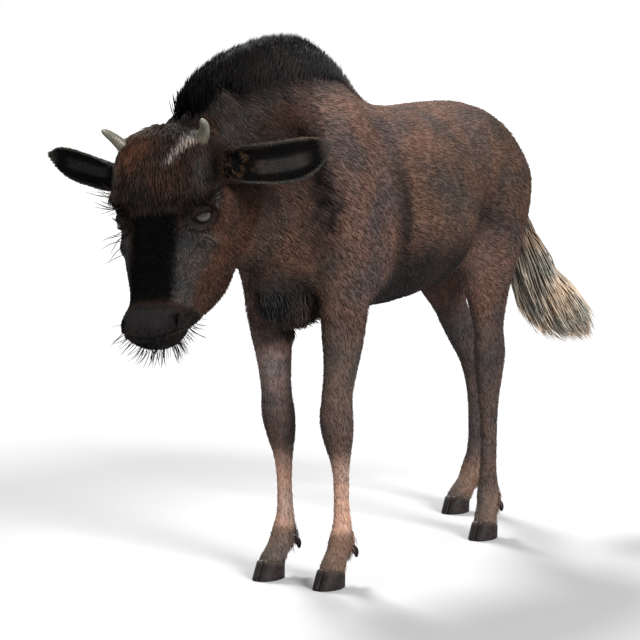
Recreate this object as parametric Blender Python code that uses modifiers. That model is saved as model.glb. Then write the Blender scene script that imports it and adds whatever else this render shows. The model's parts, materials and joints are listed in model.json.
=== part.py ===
"""A young black wildebeest standing with its head low, life size.

The flesh is lofted from rings, run together as one skin, given its locks of long hair, and parted
into nodes by thin cuts. Metres, +Z up. The animal faces -Y, its left side is +X, and it stands
on z = 0. Blender 4.5.
"""

import math
import random
from collections import namedtuple

import bmesh
import bpy
import numpy as np
from mathutils import Euler, Matrix, Vector
from mathutils.bvhtree import BVHTree

GAP = 0.0003  # the space that two touching nodes keep
VOXEL = 0.005  # the grain at which the lofts are run together
SKIN_FACES = 5000
FIRST_TURNS = 6  # turns of smoothing on the whole skin
ALL_TURNS = 60  # and with those on the trunk alone

# A ring is an oval across a body or a limb. Its front and back are points (y, z) of the side view,
# half is half its width, and at is the x of its middle. Blunt is the power of the oval's front and
# back ends: 2 is an ellipse, less is sharper and more is boxier. Wide is where the oval is widest,
# as a share of the way from front to back.
Ring = namedtuple("Ring", "front back half at blunt_front blunt_back wide")


def ring(front, back, half, at=0.0, blunt=(2.0, 2.0), wide=0.5):
    return Ring(front, back, half, at, blunt[0], blunt[1], wide)


# Rump, barrel, withers and neck. Here the front of a ring is its top and the back its underside.
TRUNK = [
    ring((0.450, 0.676), (0.452, 0.606), 0.030),
    ring((0.438, 0.716), (0.436, 0.556), 0.066),
    ring((0.404, 0.751), (0.404, 0.514), 0.092, blunt=(1.9, 2.0)),
    ring((0.345, 0.784), (0.345, 0.492), 0.110, blunt=(1.9, 2.0)),
    ring((0.260, 0.801), (0.255, 0.492), 0.118, blunt=(2.0, 2.1), wide=0.52),
    ring((0.170, 0.804), (0.160, 0.487), 0.126, blunt=(2.1, 2.2), wide=0.54),
    ring((0.070, 0.801), (0.060, 0.466), 0.135, blunt=(2.2, 2.3), wide=0.56),
    ring((-0.030, 0.800), (-0.040, 0.453), 0.140, blunt=(2.1, 2.3), wide=0.57),
    ring((-0.120, 0.810), (-0.140, 0.449), 0.134, blunt=(1.9, 2.2), wide=0.57),
    ring((-0.190, 0.842), (-0.220, 0.456), 0.122, blunt=(1.7, 2.1), wide=0.58),
    ring((-0.270, 0.876), (-0.310, 0.470), 0.110, blunt=(1.6, 2.0), wide=0.58),
    ring((-0.350, 0.890), (-0.400, 0.498), 0.100, blunt=(1.6, 1.9), wide=0.56),
    ring((-0.425, 0.888), (-0.465, 0.529), 0.090, at=-0.002, blunt=(1.6, 1.9), wide=0.55),
    ring((-0.500, 0.872), (-0.520, 0.540), 0.084, at=-0.007, blunt=(1.7, 1.9), wide=0.54),
    ring((-0.565, 0.849), (-0.570, 0.548), 0.080, at=-0.014, blunt=(1.8, 1.9), wide=0.52),
    ring((-0.618, 0.808), (-0.610, 0.575), 0.074, at=-0.021, blunt=(1.9, 1.9)),
    ring((-0.660, 0.774), (-0.640, 0.620), 0.060, at=-0.026),
]

# The shoulder blade and upper arm of one side, as a pad that lies on the trunk.
SHOULDER = [
    ring((-0.290, 0.850), (-0.235, 0.846), 0.016, at=0.030),
    ring((-0.340, 0.800), (-0.200, 0.790), 0.032, at=0.057),
    ring((-0.378, 0.730), (-0.180, 0.715), 0.040, at=0.072),
    ring((-0.408, 0.655), (-0.168, 0.640), 0.043, at=0.082),
    ring((-0.408, 0.590), (-0.165, 0.570), 0.043, at=0.084),
    ring((-0.372, 0.530), (-0.172, 0.520), 0.040, at=0.081),
    ring((-0.340, 0.480), (-0.215, 0.475), 0.035, at=0.077),
]

# The crest of the neck, which holds the lower half of the mane.
CREST = [
    ring((-0.646, 0.800), (-0.640, 0.765), 0.010, at=-0.022),
    ring((-0.612, 0.836), (-0.604, 0.790), 0.014, at=-0.018),
    ring((-0.560, 0.872), (-0.550, 0.820), 0.016, at=-0.012),
    ring((-0.490, 0.893), (-0.485, 0.840), 0.016, at=-0.006),
    ring((-0.410, 0.905), (-0.410, 0.850), 0.016, at=-0.002),
    ring((-0.330, 0.903), (-0.335, 0.850), 0.016),
    ring((-0.250, 0.880), (-0.265, 0.830), 0.014),
    ring((-0.180, 0.848), (-0.195, 0.805), 0.011),
    ring((-0.135, 0.820), (-0.145, 0.790), 0.007),
]

# Each row is a height, half depth and half width of a leg, from the body down to the coronet.
FORELEG_SIZES = [
    (0.580, 0.080, 0.045), (0.520, 0.066, 0.043), (0.470, 0.058, 0.040), (0.420, 0.048, 0.034),
    (0.365, 0.038, 0.0275), (0.322, 0.032, 0.0260), (0.278, 0.0335, 0.0290),
    (0.243, 0.030, 0.0250), (0.208, 0.021, 0.0180), (0.140, 0.0172, 0.0142),
    (0.100, 0.0205, 0.0170), (0.074, 0.0265, 0.0210), (0.052, 0.0225, 0.0205),
    (0.034, 0.0245, 0.0230), (0.016, 0.0230, 0.0230),
]
HINDLEG_SIZES = [
    (0.700, 0.108, 0.052), (0.630, 0.120, 0.055), (0.565, 0.101, 0.055), (0.510, 0.085, 0.050),
    (0.470, 0.071, 0.042), (0.430, 0.056, 0.0310), (0.385, 0.0440, 0.0235),
    (0.335, 0.0480, 0.0240), (0.300, 0.0400, 0.0225), (0.255, 0.0295, 0.0180),
    (0.170, 0.0215, 0.0155), (0.112, 0.0225, 0.0170), (0.076, 0.0275, 0.0215),
    (0.052, 0.0235, 0.0210), (0.034, 0.0250, 0.0232), (0.016, 0.0235, 0.0232),
]
# The middles (x, y) of those rings on each leg. The right hind leg is stretched well back.
FORE_LEFT = [
    (0.078, -0.290), (0.079, -0.296), (0.077, -0.301), (0.076, -0.303), (0.074, -0.308),
    (0.073, -0.318), (0.073, -0.320), (0.072, -0.311), (0.072, -0.305), (0.072, -0.301),
    (0.072, -0.299), (0.072, -0.303), (0.072, -0.316), (0.072, -0.330), (0.072, -0.342),
]
FORE_RIGHT = [
    (-0.078, -0.288), (-0.078, -0.290), (-0.075, -0.289), (-0.072, -0.286), (-0.068, -0.284),
    (-0.064, -0.285), (-0.061, -0.283), (-0.059, -0.277), (-0.057, -0.274), (-0.055, -0.272),
    (-0.055, -0.271), (-0.055, -0.276), (-0.056, -0.290), (-0.058, -0.305), (-0.060, -0.318),
]
HIND_LEFT = [
    (0.062, 0.325), (0.066, 0.290), (0.073, 0.256), (0.079, 0.238), (0.078, 0.236),
    (0.079, 0.239), (0.080, 0.241), (0.080, 0.246), (0.080, 0.244), (0.080, 0.243),
    (0.080, 0.244), (0.080, 0.242), (0.081, 0.240), (0.083, 0.232), (0.085, 0.222),
    (0.088, 0.212),
]
HIND_RIGHT = [
    (-0.062, 0.328), (-0.068, 0.308), (-0.072, 0.312), (-0.076, 0.338), (-0.077, 0.368),
    (-0.081, 0.400), (-0.087, 0.432), (-0.082, 0.482), (-0.080, 0.498), (-0.079, 0.507),
    (-0.078, 0.511), (-0.078, 0.507), (-0.080, 0.496), (-0.083, 0.480), (-0.087, 0.462),
    (-0.091, 0.446),
]
LEGS = {
    "fore_left": (FORELEG_SIZES, FORE_LEFT),
    "fore_right": (FORELEG_SIZES, FORE_RIGHT),
    "hind_left": (HINDLEG_SIZES, HIND_LEFT),
    "hind_right": (HINDLEG_SIZES, HIND_RIGHT),
}

# The head is drawn hanging straight down, with the middle of the horn bases at its origin.
HEAD_PLACE = Matrix.LocRotScale(
    Vector((-0.037, -0.690, 0.749)),
    Euler((math.radians(-18), math.radians(-6), math.radians(6.5))),
    None,
)
HEAD = [
    ring((0.022, 0.044), (0.056, 0.040), 0.038),
    ring((0.000, 0.028), (0.096, 0.022), 0.076, blunt=(2.4, 2.0)),
    ring((-0.018, -0.008), (0.134, -0.018), 0.095, blunt=(2.6, 2.0)),
    ring((-0.028, -0.045), (0.156, -0.064), 0.099, blunt=(2.6, 2.0)),
    ring((-0.026, -0.086), (0.176, -0.110), 0.094, blunt=(2.5, 2.1)),
    ring((-0.017, -0.124), (0.186, -0.154), 0.086, blunt=(2.4, 2.2)),
    ring((-0.012, -0.162), (0.179, -0.194), 0.078, blunt=(2.5, 2.3)),
    ring((-0.010, -0.200), (0.156, -0.228), 0.066, blunt=(2.6, 2.2)),
    ring((-0.011, -0.235), (0.122, -0.254), 0.055, blunt=(2.7, 2.1)),
    ring((-0.016, -0.264), (0.093, -0.274), 0.050, blunt=(2.9, 2.0), wide=0.38),
    ring((-0.018, -0.290), (0.070, -0.290), 0.050, blunt=(3.0, 1.9), wide=0.34),
    ring((-0.012, -0.310), (0.056, -0.303), 0.043, blunt=(2.9, 1.8), wide=0.34),
    ring((0.004, -0.320), (0.046, -0.312), 0.031, wide=0.4),
    ring((0.014, -0.324), (0.038, -0.319), 0.016, wide=0.4),
]

# The tail's dock and the core of its brush, as (x, y, z, radius).
DOCK = [
    (0.000, 0.400, 0.712, 0.024), (0.001, 0.444, 0.692, 0.025), (0.004, 0.478, 0.656, 0.022),
    (0.008, 0.496, 0.612, 0.020), (0.011, 0.506, 0.568, 0.022), (0.015, 0.517, 0.524, 0.028),
    (0.022, 0.536, 0.482, 0.032), (0.032, 0.564, 0.446, 0.026), (0.044, 0.596, 0.418, 0.010),
]

# A push moves the skin round a point: where it is, how far it reaches, and which way it goes. Each
# is made on the left side and on the right.
BODY_PUSHES = [
    ((0.135, 0.160, 0.600), (0.050, 0.050, 0.080), (-0.012, 0.000, 0.000)),  # flank
    ((0.100, 0.215, 0.768), (0.030, 0.040, 0.028), (0.008, 0.000, 0.005)),  # point of the hip
    ((0.140, -0.130, 0.600), (0.040, 0.032, 0.120), (-0.008, 0.000, 0.000)),  # behind the shoulder
    ((0.090, -0.405, 0.600), (0.030, 0.030, 0.045), (0.004, -0.006, 0.000)),  # shoulder point
    ((0.095, -0.190, 0.505), (0.030, 0.028, 0.035), (0.003, 0.009, 0.000)),  # elbow
    ((0.075, -0.500, 0.610), (0.030, 0.080, 0.030), (-0.006, 0.000, 0.000)),  # throat groove
]
HEAD_PUSHES = [
    ((0.072, 0.000, -0.082), (0.024, 0.022, 0.013), (0.006, -0.008, -0.002)),  # brow
    ((0.055, -0.006, -0.126), (0.014, 0.016, 0.014), (-0.004, 0.004, 0.000)),  # inner corner
    ((0.046, -0.012, -0.160), (0.020, 0.030, 0.030), (-0.005, 0.003, 0.000)),  # below the eye
    ((0.080, 0.035, -0.152), (0.020, 0.040, 0.011), (0.005, -0.003, 0.000)),  # cheek bone
    ((0.088, 0.110, -0.145), (0.030, 0.045, 0.050), (0.006, 0.000, 0.000)),  # cheek
    ((0.058, 0.072, -0.236), (0.022, 0.024, 0.024), (-0.006, 0.000, 0.000)),  # behind the mouth
    ((0.094, 0.045, -0.066), (0.020, 0.024, 0.030), (-0.008, 0.002, 0.000)),  # temple
    ((0.047, -0.004, -0.284), (0.016, 0.020, 0.016), (0.005, -0.004, 0.000)),  # nostril
    ((0.050, 0.020, -0.297), (0.020, 0.022, 0.010), (0.004, 0.000, 0.000)),  # upper lip
    ((0.048, 0.058, -0.288), (0.020, 0.020, 0.014), (-0.006, 0.000, 0.000)),  # lower jaw
]

# A lock's width along it, as a share of its full width.
LOCK_TAPER = (0.75, 1.0, 0.85, 0.5)
MANE_TAPER = (0.80, 1.0, 0.95, 0.68)

# The mane runs from the poll back over the withers.
MANE_ROWS = 24
MANE_FRONT = -0.640
MANE_BACK = -0.150
MANE_HEIGHT = 0.019  # above the crest
POLL_HEIGHT = 0.020  # and this much more at the poll
MANE_LOCK = (0.030, 0.0075)  # a lock's width and thickness

# The beard hangs between the forelegs in two rows of locks.
BEARD_ROWS = 10
BEARD_FRONT = -0.430
BEARD_LENGTH = 0.185
BEARD_BOTTOM = 0.425
BEARD_LOCK = (0.026, 0.009)

# The tail's brush: its locks turn round the dock from one share of it to another.
TAIL_LOCKS = 24
TAIL_TURN = 2.4
TAIL_START = 0.44
TAIL_SPAN = 0.42
TAIL_LOCK = (0.034, 0.010)

NOSTRIL_AT = Vector((0.0475, -0.0095, -0.284))
NOSTRIL_WAY = Vector((-0.003, 0.005, 0.014))  # from its middle to its upper end
MOUTH_HEIGHT = -0.308
MOUTH_TURN = 112  # degrees from the middle of the muzzle to a corner of the mouth

EYE_AT = Vector((0.0632, 0.0226, -0.1126))
EYE_AXIS = Vector((0.80, -0.56, -0.20)).normalized()
EYE_LONG = Vector((0.585, 0.69, 0.42)).normalized()
EYE_RADIUS = 0.0170
LID_RADIUS = 0.0212
EYE_OPENING = (0.0300, 0.0085, 0.0095)  # length, and height above and below its long axis

EAR_ROOT = Vector((0.086, 0.062, -0.030))
EAR_TIPS = {"left": Vector((0.2505, 0.092, 0.002)), "right": Vector((-0.247, 0.088, 0.033))}
EAR_OPENINGS = {"left": Vector((0, -1, -0.12)), "right": Vector((0, -1, -0.70))}
# How far the middle of an ear hangs below the line from its root to its tip, and its height. The
# right ear is rolled further in.
EAR_SAGS = {"left": 0.011, "right": 0.004}
EAR_HEIGHTS = {"left": 1.0, "right": 0.80}
EAR_CUT = (0.056, 0.084)
EAR_WALL = 0.0022
# Along the ear: half its height, the depth of the cup, how far the crescent's arms close in.
EAR_SHAPE = [
    (-0.10, 0.022, 0.017, 1.9), (0.04, 0.025, 0.019, 1.9), (0.16, 0.029, 0.021, 1.75),
    (0.32, 0.0325, 0.020, 1.5), (0.50, 0.0345, 0.017, 1.3), (0.68, 0.0340, 0.013, 1.2),
    (0.84, 0.0265, 0.009, 1.1), (0.94, 0.0135, 0.005, 1.0), (0.99, 0.0040, 0.002, 1.0),
]

HORN_BASE = Vector((0.066, 0.012, 0.003))
HORN_TIP = Vector((0.0867, -0.0304, 0.0235))
# Along the horn: the share of its length, and its radius there. It starts inside the head.
HORN_SHAPE = [
    (-0.22, 0.0112), (0.0, 0.0108), (0.3, 0.0093), (0.6, 0.0074), (0.85, 0.0056),
    (0.96, 0.0036), (1.0, 0.0018),
]
HORN_BEND = Vector((0.003, 0.004, 0.004))

TOE = 0.046  # from the middle of the coronet to the tip of the toe
TOE_SLOPE = 0.022  # how far the toe slopes back up to the coronet
HEEL = 0.022
CLAW_WIDTH = 0.0243
CLEFT = 0.0024
CORONET_FRONT = 0.034
CORONET_BACK = 0.023
CORONET_SLOPE = (CORONET_FRONT - CORONET_BACK) / (TOE - TOE_SLOPE + HEEL)
FOOT_PLATE = 0.10  # the plate that cuts a leg off at its coronet


def flow(rows, steps):
    """The rows run together along smooth curves, with so many steps between two rows."""
    rows = np.array(rows, float)
    spans = np.linalg.norm(np.diff(rows[:, :4], axis=0), axis=1)
    at = np.concatenate([[0], np.cumsum(spans)])
    slope = np.gradient(rows, at, axis=0)
    made = []
    for i in range(len(rows) - 1):
        span = at[i + 1] - at[i]
        for t in np.arange(steps) / steps:
            made.append(
                (1 + 2 * t) * (1 - t) ** 2 * rows[i]
                + t * (1 - t) ** 2 * span * slope[i]
                + t * t * (3 - 2 * t) * rows[i + 1]
                + t * t * (t - 1) * span * slope[i + 1]
            )
    return np.array(made + [rows[-1]])


def as_object(name, mesh):
    data = bpy.data.meshes.new(name)
    bmesh.ops.recalc_face_normals(mesh, faces=mesh.faces)
    mesh.to_mesh(data)
    mesh.free()
    made = bpy.data.objects.new(name, data)
    bpy.context.scene.collection.objects.link(made)
    return made


def skinned(name, loops, tips=(None, None)):
    """A closed mesh over loops of points. A tip is a point that ends it, in place of a flat end."""
    mesh = bmesh.new()
    made = [[mesh.verts.new(point) for point in loop] for loop in loops]
    around = len(made[0])
    for one, two in zip(made, made[1:]):
        for k in range(around):
            mesh.faces.new((one[k], one[(k + 1) % around], two[(k + 1) % around], two[k]))
    for end, tip in zip((made[0], made[-1]), tips):
        if tip is None:
            mesh.faces.new(end)
            continue
        point = mesh.verts.new(tip)
        for k in range(around):
            mesh.faces.new((end[k], end[(k + 1) % around], point))
    return as_object(name, mesh)


def loft(name, rings, steps=4, around=28):
    """One closed mesh through the rings, each an oval."""
    rows = flow([(*r.front, *r.back, *r[2:]) for r in rings], steps)
    turn = np.linspace(0, 2 * math.pi, around, endpoint=False)
    along, across = np.cos(turn), np.sin(turn)
    loops = []
    for y0, z0, y1, z1, half, at, blunt_front, blunt_back, wide in rows:
        front, back = np.array((y0, z0)), np.array((y1, z1))
        middle = front + (back - front) * wide
        power = np.where(along > 0, 2 / blunt_front, 2 / blunt_back)
        reach = np.where(along[:, None] > 0, front - middle, middle - back)
        side = middle + reach * (np.sign(along) * np.abs(along) ** power)[:, None]
        x = at + half * np.sign(across) * np.abs(across) ** power
        loops.append(np.column_stack((x, side)))
    return skinned(name, loops)


def limb(name, sizes, path):
    """A leg: each ring lies square to the path that its middle follows."""
    middles = np.array([(y, z) for (x, y), (z, *_) in zip(path, sizes)])
    run = np.gradient(middles, axis=0)
    rings = []
    for (x, _), (_, depth, half), middle, way in zip(path, sizes, middles, run):
        way = way / np.linalg.norm(way)
        ahead = np.array((way[1], -way[0])) * depth
        rings.append(ring(tuple(middle + ahead), tuple(middle - ahead), half, at=x))
    return loft(name, rings, around=20)


def tube(name, path, around=10, steps=3, tipped=False):
    """A round body along points (x, y, z, radius)."""
    rows = flow(path, steps)
    run = np.gradient(rows[:, :3], axis=0)
    loops = []
    for row, way in zip(rows, run):
        way = Vector(way).normalized()
        side = way.cross(Vector((1, 0, 0))).normalized()
        up = way.cross(side)
        turns = (2 * math.pi * k / around for k in range(around))
        loops.append(
            [Vector(row[:3]) + (side * math.cos(t) + up * math.sin(t)) * row[3] for t in turns]
        )
    end = Vector(rows[-1][:3] + run[-1] * 0.3) if tipped else None
    return skinned(name, loops, (None, end))


def mirrored(made):
    """The same piece on the right side."""
    other = made.copy()
    other.data = made.data.copy()
    other.name = made.name + "_right"
    bpy.context.scene.collection.objects.link(other)
    other.data.transform(Matrix.Scale(-1, 4, (1, 0, 0)))
    other.data.flip_normals()
    return other


def on_head(*pieces):
    for made in pieces:
        made.data.transform(HEAD_PLACE)
    return list(pieces)


def settle(made):
    """Applies the piece's modifiers."""
    bpy.context.view_layer.update()
    view = bpy.context.evaluated_depsgraph_get()
    data = bpy.data.meshes.new_from_object(made.evaluated_get(view))
    made.modifiers.clear()
    made.data = data


def combine(made, others, operation):
    """Joins the others to a piece or cuts them from it, and removes them."""
    tools = bpy.data.collections.new("tools")
    bpy.context.scene.collection.children.link(tools)
    for other in others:
        bpy.context.scene.collection.objects.unlink(other)
        tools.objects.link(other)
    boolean = made.modifiers.new(operation, "BOOLEAN")
    boolean.operation = operation
    boolean.solver = "MANIFOLD"
    boolean.operand_type = "COLLECTION"
    boolean.collection = tools
    settle(made)
    for other in others:
        bpy.data.objects.remove(other)
    bpy.data.collections.remove(tools)


def join(name, pieces):
    """One object out of several meshes that overlap."""
    mesh = bmesh.new()
    for piece in pieces:
        mesh.from_mesh(piece.data)
        bpy.data.objects.remove(piece)
    data = bpy.data.meshes.new(name)
    mesh.to_mesh(data)
    mesh.free()
    made = bpy.data.objects.new(name, data)
    bpy.context.scene.collection.objects.link(made)
    return made


def bell(points, at, reach):
    return np.exp(-((((points - np.array(at)) / np.array(reach)) ** 2).sum(axis=1)))


def shape_skin(skin):
    """Smooths the skin, more on the trunk than on head and legs, and makes its pushes."""
    count = len(skin.data.vertices)
    points = np.empty(count * 3)
    skin.data.vertices.foreach_get("co", points)
    points = points.reshape(-1, 3)
    edges = np.empty(len(skin.data.edges) * 2, int)
    skin.data.edges.foreach_get("vertices", edges)
    edges = edges.reshape(-1, 2)
    degree = np.bincount(edges.ravel(), minlength=count)[:, None]
    trunk = np.clip((points[:, 2] - 0.46) / 0.05, 0, 1) * np.clip((points[:, 1] + 0.62) / 0.1, 0, 1)
    crest = np.abs(points[:, 0] + 0.01) < 0.04
    trunk[crest & (points[:, 2] > 0.8)] = 0
    for turn in range(ALL_TURNS):
        total = np.zeros_like(points)
        np.add.at(total, edges[:, 0], points[edges[:, 1]])
        np.add.at(total, edges[:, 1], points[edges[:, 0]])
        weight = 0.5 if turn < FIRST_TURNS else 0.5 * trunk[:, None]
        points += (total / degree - points) * weight
    head = np.array(HEAD_PLACE)
    for pushes, place in ((BODY_PUSHES, np.eye(4)), (HEAD_PUSHES, head)):
        local = (points - place[:3, 3]) @ place[:3, :3]
        for at, reach, way in pushes:
            for side in (1, -1):
                flip = np.array((side, 1, 1))
                local += bell(local, at * flip, reach)[:, None] * (way * flip)
        points = local @ place[:3, :3].T + place[:3, 3]
    skin.data.vertices.foreach_set("co", points.ravel())
    skin.data.update()


def make_skin():
    shoulder = loft("shoulder", SHOULDER)
    pieces = [loft("trunk", TRUNK, around=40), loft("crest", CREST), shoulder, mirrored(shoulder)]
    pieces += [limb(name, sizes, path) for name, (sizes, path) in LEGS.items()]
    pieces += [tube("dock", DOCK, around=16)]
    pieces += on_head(loft("head", HEAD, around=36))
    skin = join("skin", pieces)
    grain = skin.modifiers.new("grain", "REMESH")
    grain.mode = "VOXEL"
    grain.voxel_size = VOXEL
    settle(skin)
    shape_skin(skin)
    detail = skin.vertex_groups.new(name="plain")
    into_head = HEAD_PLACE.inverted()
    for point in skin.data.vertices:
        at = into_head @ point.co
        near = at.y < 0.12 and abs(at.x) < 0.11
        detail.add([point.index], 0.5 if near else 1.0, "REPLACE")
    fewer = skin.modifiers.new("fewer", "DECIMATE")
    fewer.ratio = SKIN_FACES / (2 * len(skin.data.polygons))
    fewer.vertex_group = "plain"
    fewer.vertex_group_factor = 0.003
    fewer.use_collapse_triangulate = True
    settle(skin)
    print("skin triangles", len(skin.data.polygons))
    return skin


def make_ear(side):
    """A leaf-shaped cup: crescents across an axis from the root to the tip, opening forwards."""
    tip = EAR_TIPS[side]
    root = Vector((math.copysign(EAR_ROOT.x, tip.x), EAR_ROOT.y, EAR_ROOT.z))
    axis = (tip - root).normalized()
    length = (tip - root).length
    opening = EAR_OPENINGS[side]
    opening = (opening - axis * opening.dot(axis)).normalized()
    tall = axis.cross(opening).normalized()
    if tall.z < 0:
        tall = -tall
    loops = []
    for share, half, deep, arms in flow(EAR_SHAPE, 2):
        sag = EAR_SAGS[side] * math.sin(math.pi * max(share, 0) ** 1.5)
        middle = root + axis * share * length - tall * sag
        half *= EAR_HEIGHTS[side]
        wall = min(EAR_WALL, half * 0.35)
        outer, inner = [], []
        for k in range(7):
            turn = arms * (k / 3 - 1)
            reach = tall * math.sin(turn) / math.sin(min(arms, math.pi / 2))
            dip = opening * (1 - math.cos(turn)) - opening * 0.4
            outer.append(middle + reach * half + dip * deep)
            inner.append(middle + reach * (half - wall) + dip * (deep - wall) + opening * wall)
        if share < 0.08:
            inner = [point + opening * 0.004 for point in inner]
        loops.append(outer + inner[::-1])
    return skinned("ear_" + side, loops)


def make_horn(name, grow=0.0):
    """A short spike with a rounded tip, bent a little forwards."""
    way = HORN_TIP - HORN_BASE
    rows = []
    for share, radius in HORN_SHAPE:
        bend = HORN_BEND * math.sin(math.pi * max(share, 0))
        rows.append((*(HORN_BASE + way * share + bend), radius + grow))
    if grow:
        rows[0] = (*(Vector(rows[0][:3]) - way.normalized() * grow), rows[0][3])
    return tube(name, rows, around=14, steps=1, tipped=True)


def almond(name):
    """The opening between the lids, as a prism that runs out from the eye."""
    length, above, below = EYE_OPENING
    tall = EYE_LONG.cross(EYE_AXIS).normalized()
    if tall.z < 0:
        tall = -tall
    loops = []
    for out, scale in ((0.004, 0.92), (0.045, 1.35)):
        loop = []
        for k in range(16):
            turn = 2 * math.pi * k / 16
            along = math.cos(turn)
            high = (above if math.sin(turn) > 0 else below) * math.sin(turn) * (1 - along**4) ** 0.3
            middle = EYE_AT + EYE_AXIS * out
            loop.append(middle + (EYE_LONG * along * length / 2 + tall * high) * scale)
        loops.append(loop)
    return skinned(name, loops)


def ball(name, at, radius):
    mesh = bmesh.new()
    bmesh.ops.create_uvsphere(mesh, u_segments=16, v_segments=9, radius=radius)
    made = as_object(name, mesh)
    turn = Vector((0, 0, 1)).rotation_difference(EYE_AXIS).to_matrix().to_4x4()
    made.data.transform(Matrix.Translation(at) @ turn)
    return made


def nostril(name):
    """A crescent slit at the side of the nose pad."""
    rows = []
    for share in (-1.0, -0.6, -0.2, 0.2, 0.6, 1.0):
        hollow = 1 - share * share
        at = NOSTRIL_AT + NOSTRIL_WAY * share
        at += Vector((0.003, 0.003, 0.0)) * hollow
        rows.append((*at, 0.0014 + 0.0050 * hollow))
    return tube(name, rows, around=8, steps=1)


def mouth(name):
    """The line between the lips, as a thin band that runs round the muzzle just into the skin."""
    loops = []
    for k in range(17):
        turn = math.radians(MOUTH_TURN * (k / 8 - 1))
        out = Vector((math.sin(turn), -math.cos(turn), 0))
        rise = 0.033 * (1 - math.cos(turn)) ** 1.2
        middle = Vector((0, 0.036, MOUTH_HEIGHT + rise))
        inner = middle + Vector((out.x * 0.030, out.y * 0.026, 0))
        outer = middle + Vector((out.x * 0.074, out.y * 0.066, rise * 0.15 - 0.004))
        thick = Vector((0, 0.0002, 0.0009))
        loops.append([
            inner - thick * 0.5, outer - thick * 1.6, outer + thick * 1.6, inner + thick * 0.5,
        ])
    return skinned(name, loops)


def slab(name, at, normal, wide, tall, thick=GAP):
    """A thin plate square to a direction: what it takes away parts two nodes."""
    mesh = bmesh.new()
    bmesh.ops.create_cube(mesh, size=1.0)
    made = as_object(name, mesh)
    normal = Vector(normal).normalized()
    side = Vector((0, 1, 0)) if abs(normal.x) > 0.7 else Vector((1, 0, 0))
    side = (side - normal * side.dot(normal)).normalized()
    turn = Matrix((side, normal.cross(side), normal)).transposed().to_4x4()
    made.data.transform(Matrix.Translation(at) @ turn @ Matrix.Diagonal((wide, tall, thick, 1)))
    return made


def coronet(path):
    """The middle of a leg's coronet, from the path of its rings."""
    (x0, y0), (x1, y1) = path[-2], path[-1]
    return Vector(((x0 + x1) / 2, (y0 + y1) / 2, 0))


def coronet_height(ahead):
    """The height of the coronet, ahead of its middle."""
    return CORONET_BACK + CORONET_SLOPE * (ahead + HEEL)


def make_claw(name, at, side):
    """One half of a cloven hoof: flat below and along the cleft, and sloping in front."""
    loops = []
    for rise in (0.0, 0.5, 1.0):
        toe, heel = TOE - TOE_SLOPE * rise, HEEL - 0.001 * rise
        width = CLAW_WIDTH - 0.0013 * rise
        middle, half = (toe - heel) / 2, (toe + heel) / 2
        loop = []
        for k in range(12):
            turn = math.pi * k / 11
            ahead = middle + half * math.cos(turn)
            out = CLEFT / 2 + (width - CLEFT / 2) * math.sin(turn) ** 0.62
            out *= 1 - 0.30 * max(0, math.cos(turn)) ** 2
            top = coronet_height(ahead) - GAP
            loop.append(Vector((side * max(out, CLEFT / 2), -ahead, rise * top)) + at)
        loops.append(loop)
    return skinned(name, loops)


def make_dewclaw(name, at, side, grow=0.0):
    """A small hooked claw behind the fetlock."""
    start = at + Vector((side * 0.011, 0.010, 0.060))
    rows = [
        (*start, 0.0068 + grow), (*(start + Vector((side * 0.002, 0.010, -0.002))), 0.0066 + grow),
        (*(start + Vector((side * 0.003, 0.017, -0.009))), 0.0050 + grow),
        (*(start + Vector((side * 0.003, 0.019, -0.017))), 0.0022 + grow),
    ]
    if grow:
        rows[0] = (*(start - Vector((0, grow, 0))), rows[0][3])
    return tube(name, rows, around=8, steps=1, tipped=True)


def make_lock(root, start, end, length, width, thick, flat=Vector((1, 0, 0)), taper=LOCK_TAPER):
    """A flat tapered lock that bends from one direction to another."""
    at = Vector(root)
    loops = []
    for k, share in enumerate(np.arange(len(taper)) / len(taper)):
        way = (start * (1 - share) + end * share).normalized()
        side = way.cross(flat).normalized()
        out = side.cross(way)
        half, deep = side * width * taper[k] / 2, out * thick * max(taper[k], 0.6) / 2
        loops.append([at + half, at + deep, at - half, at - deep])
        at = at + way * length / len(taper)
    return skinned("lock", loops, (None, at))


def drop_on(tree, x, y, up=False):
    """The point of the skin straight below or above a place on the plan."""
    start, way = ((x, y, 0.2), (0, 0, 1)) if up else ((x, y, 1.2), (0, 0, -1))
    return tree.ray_cast(Vector(start), Vector(way))[0]


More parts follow.
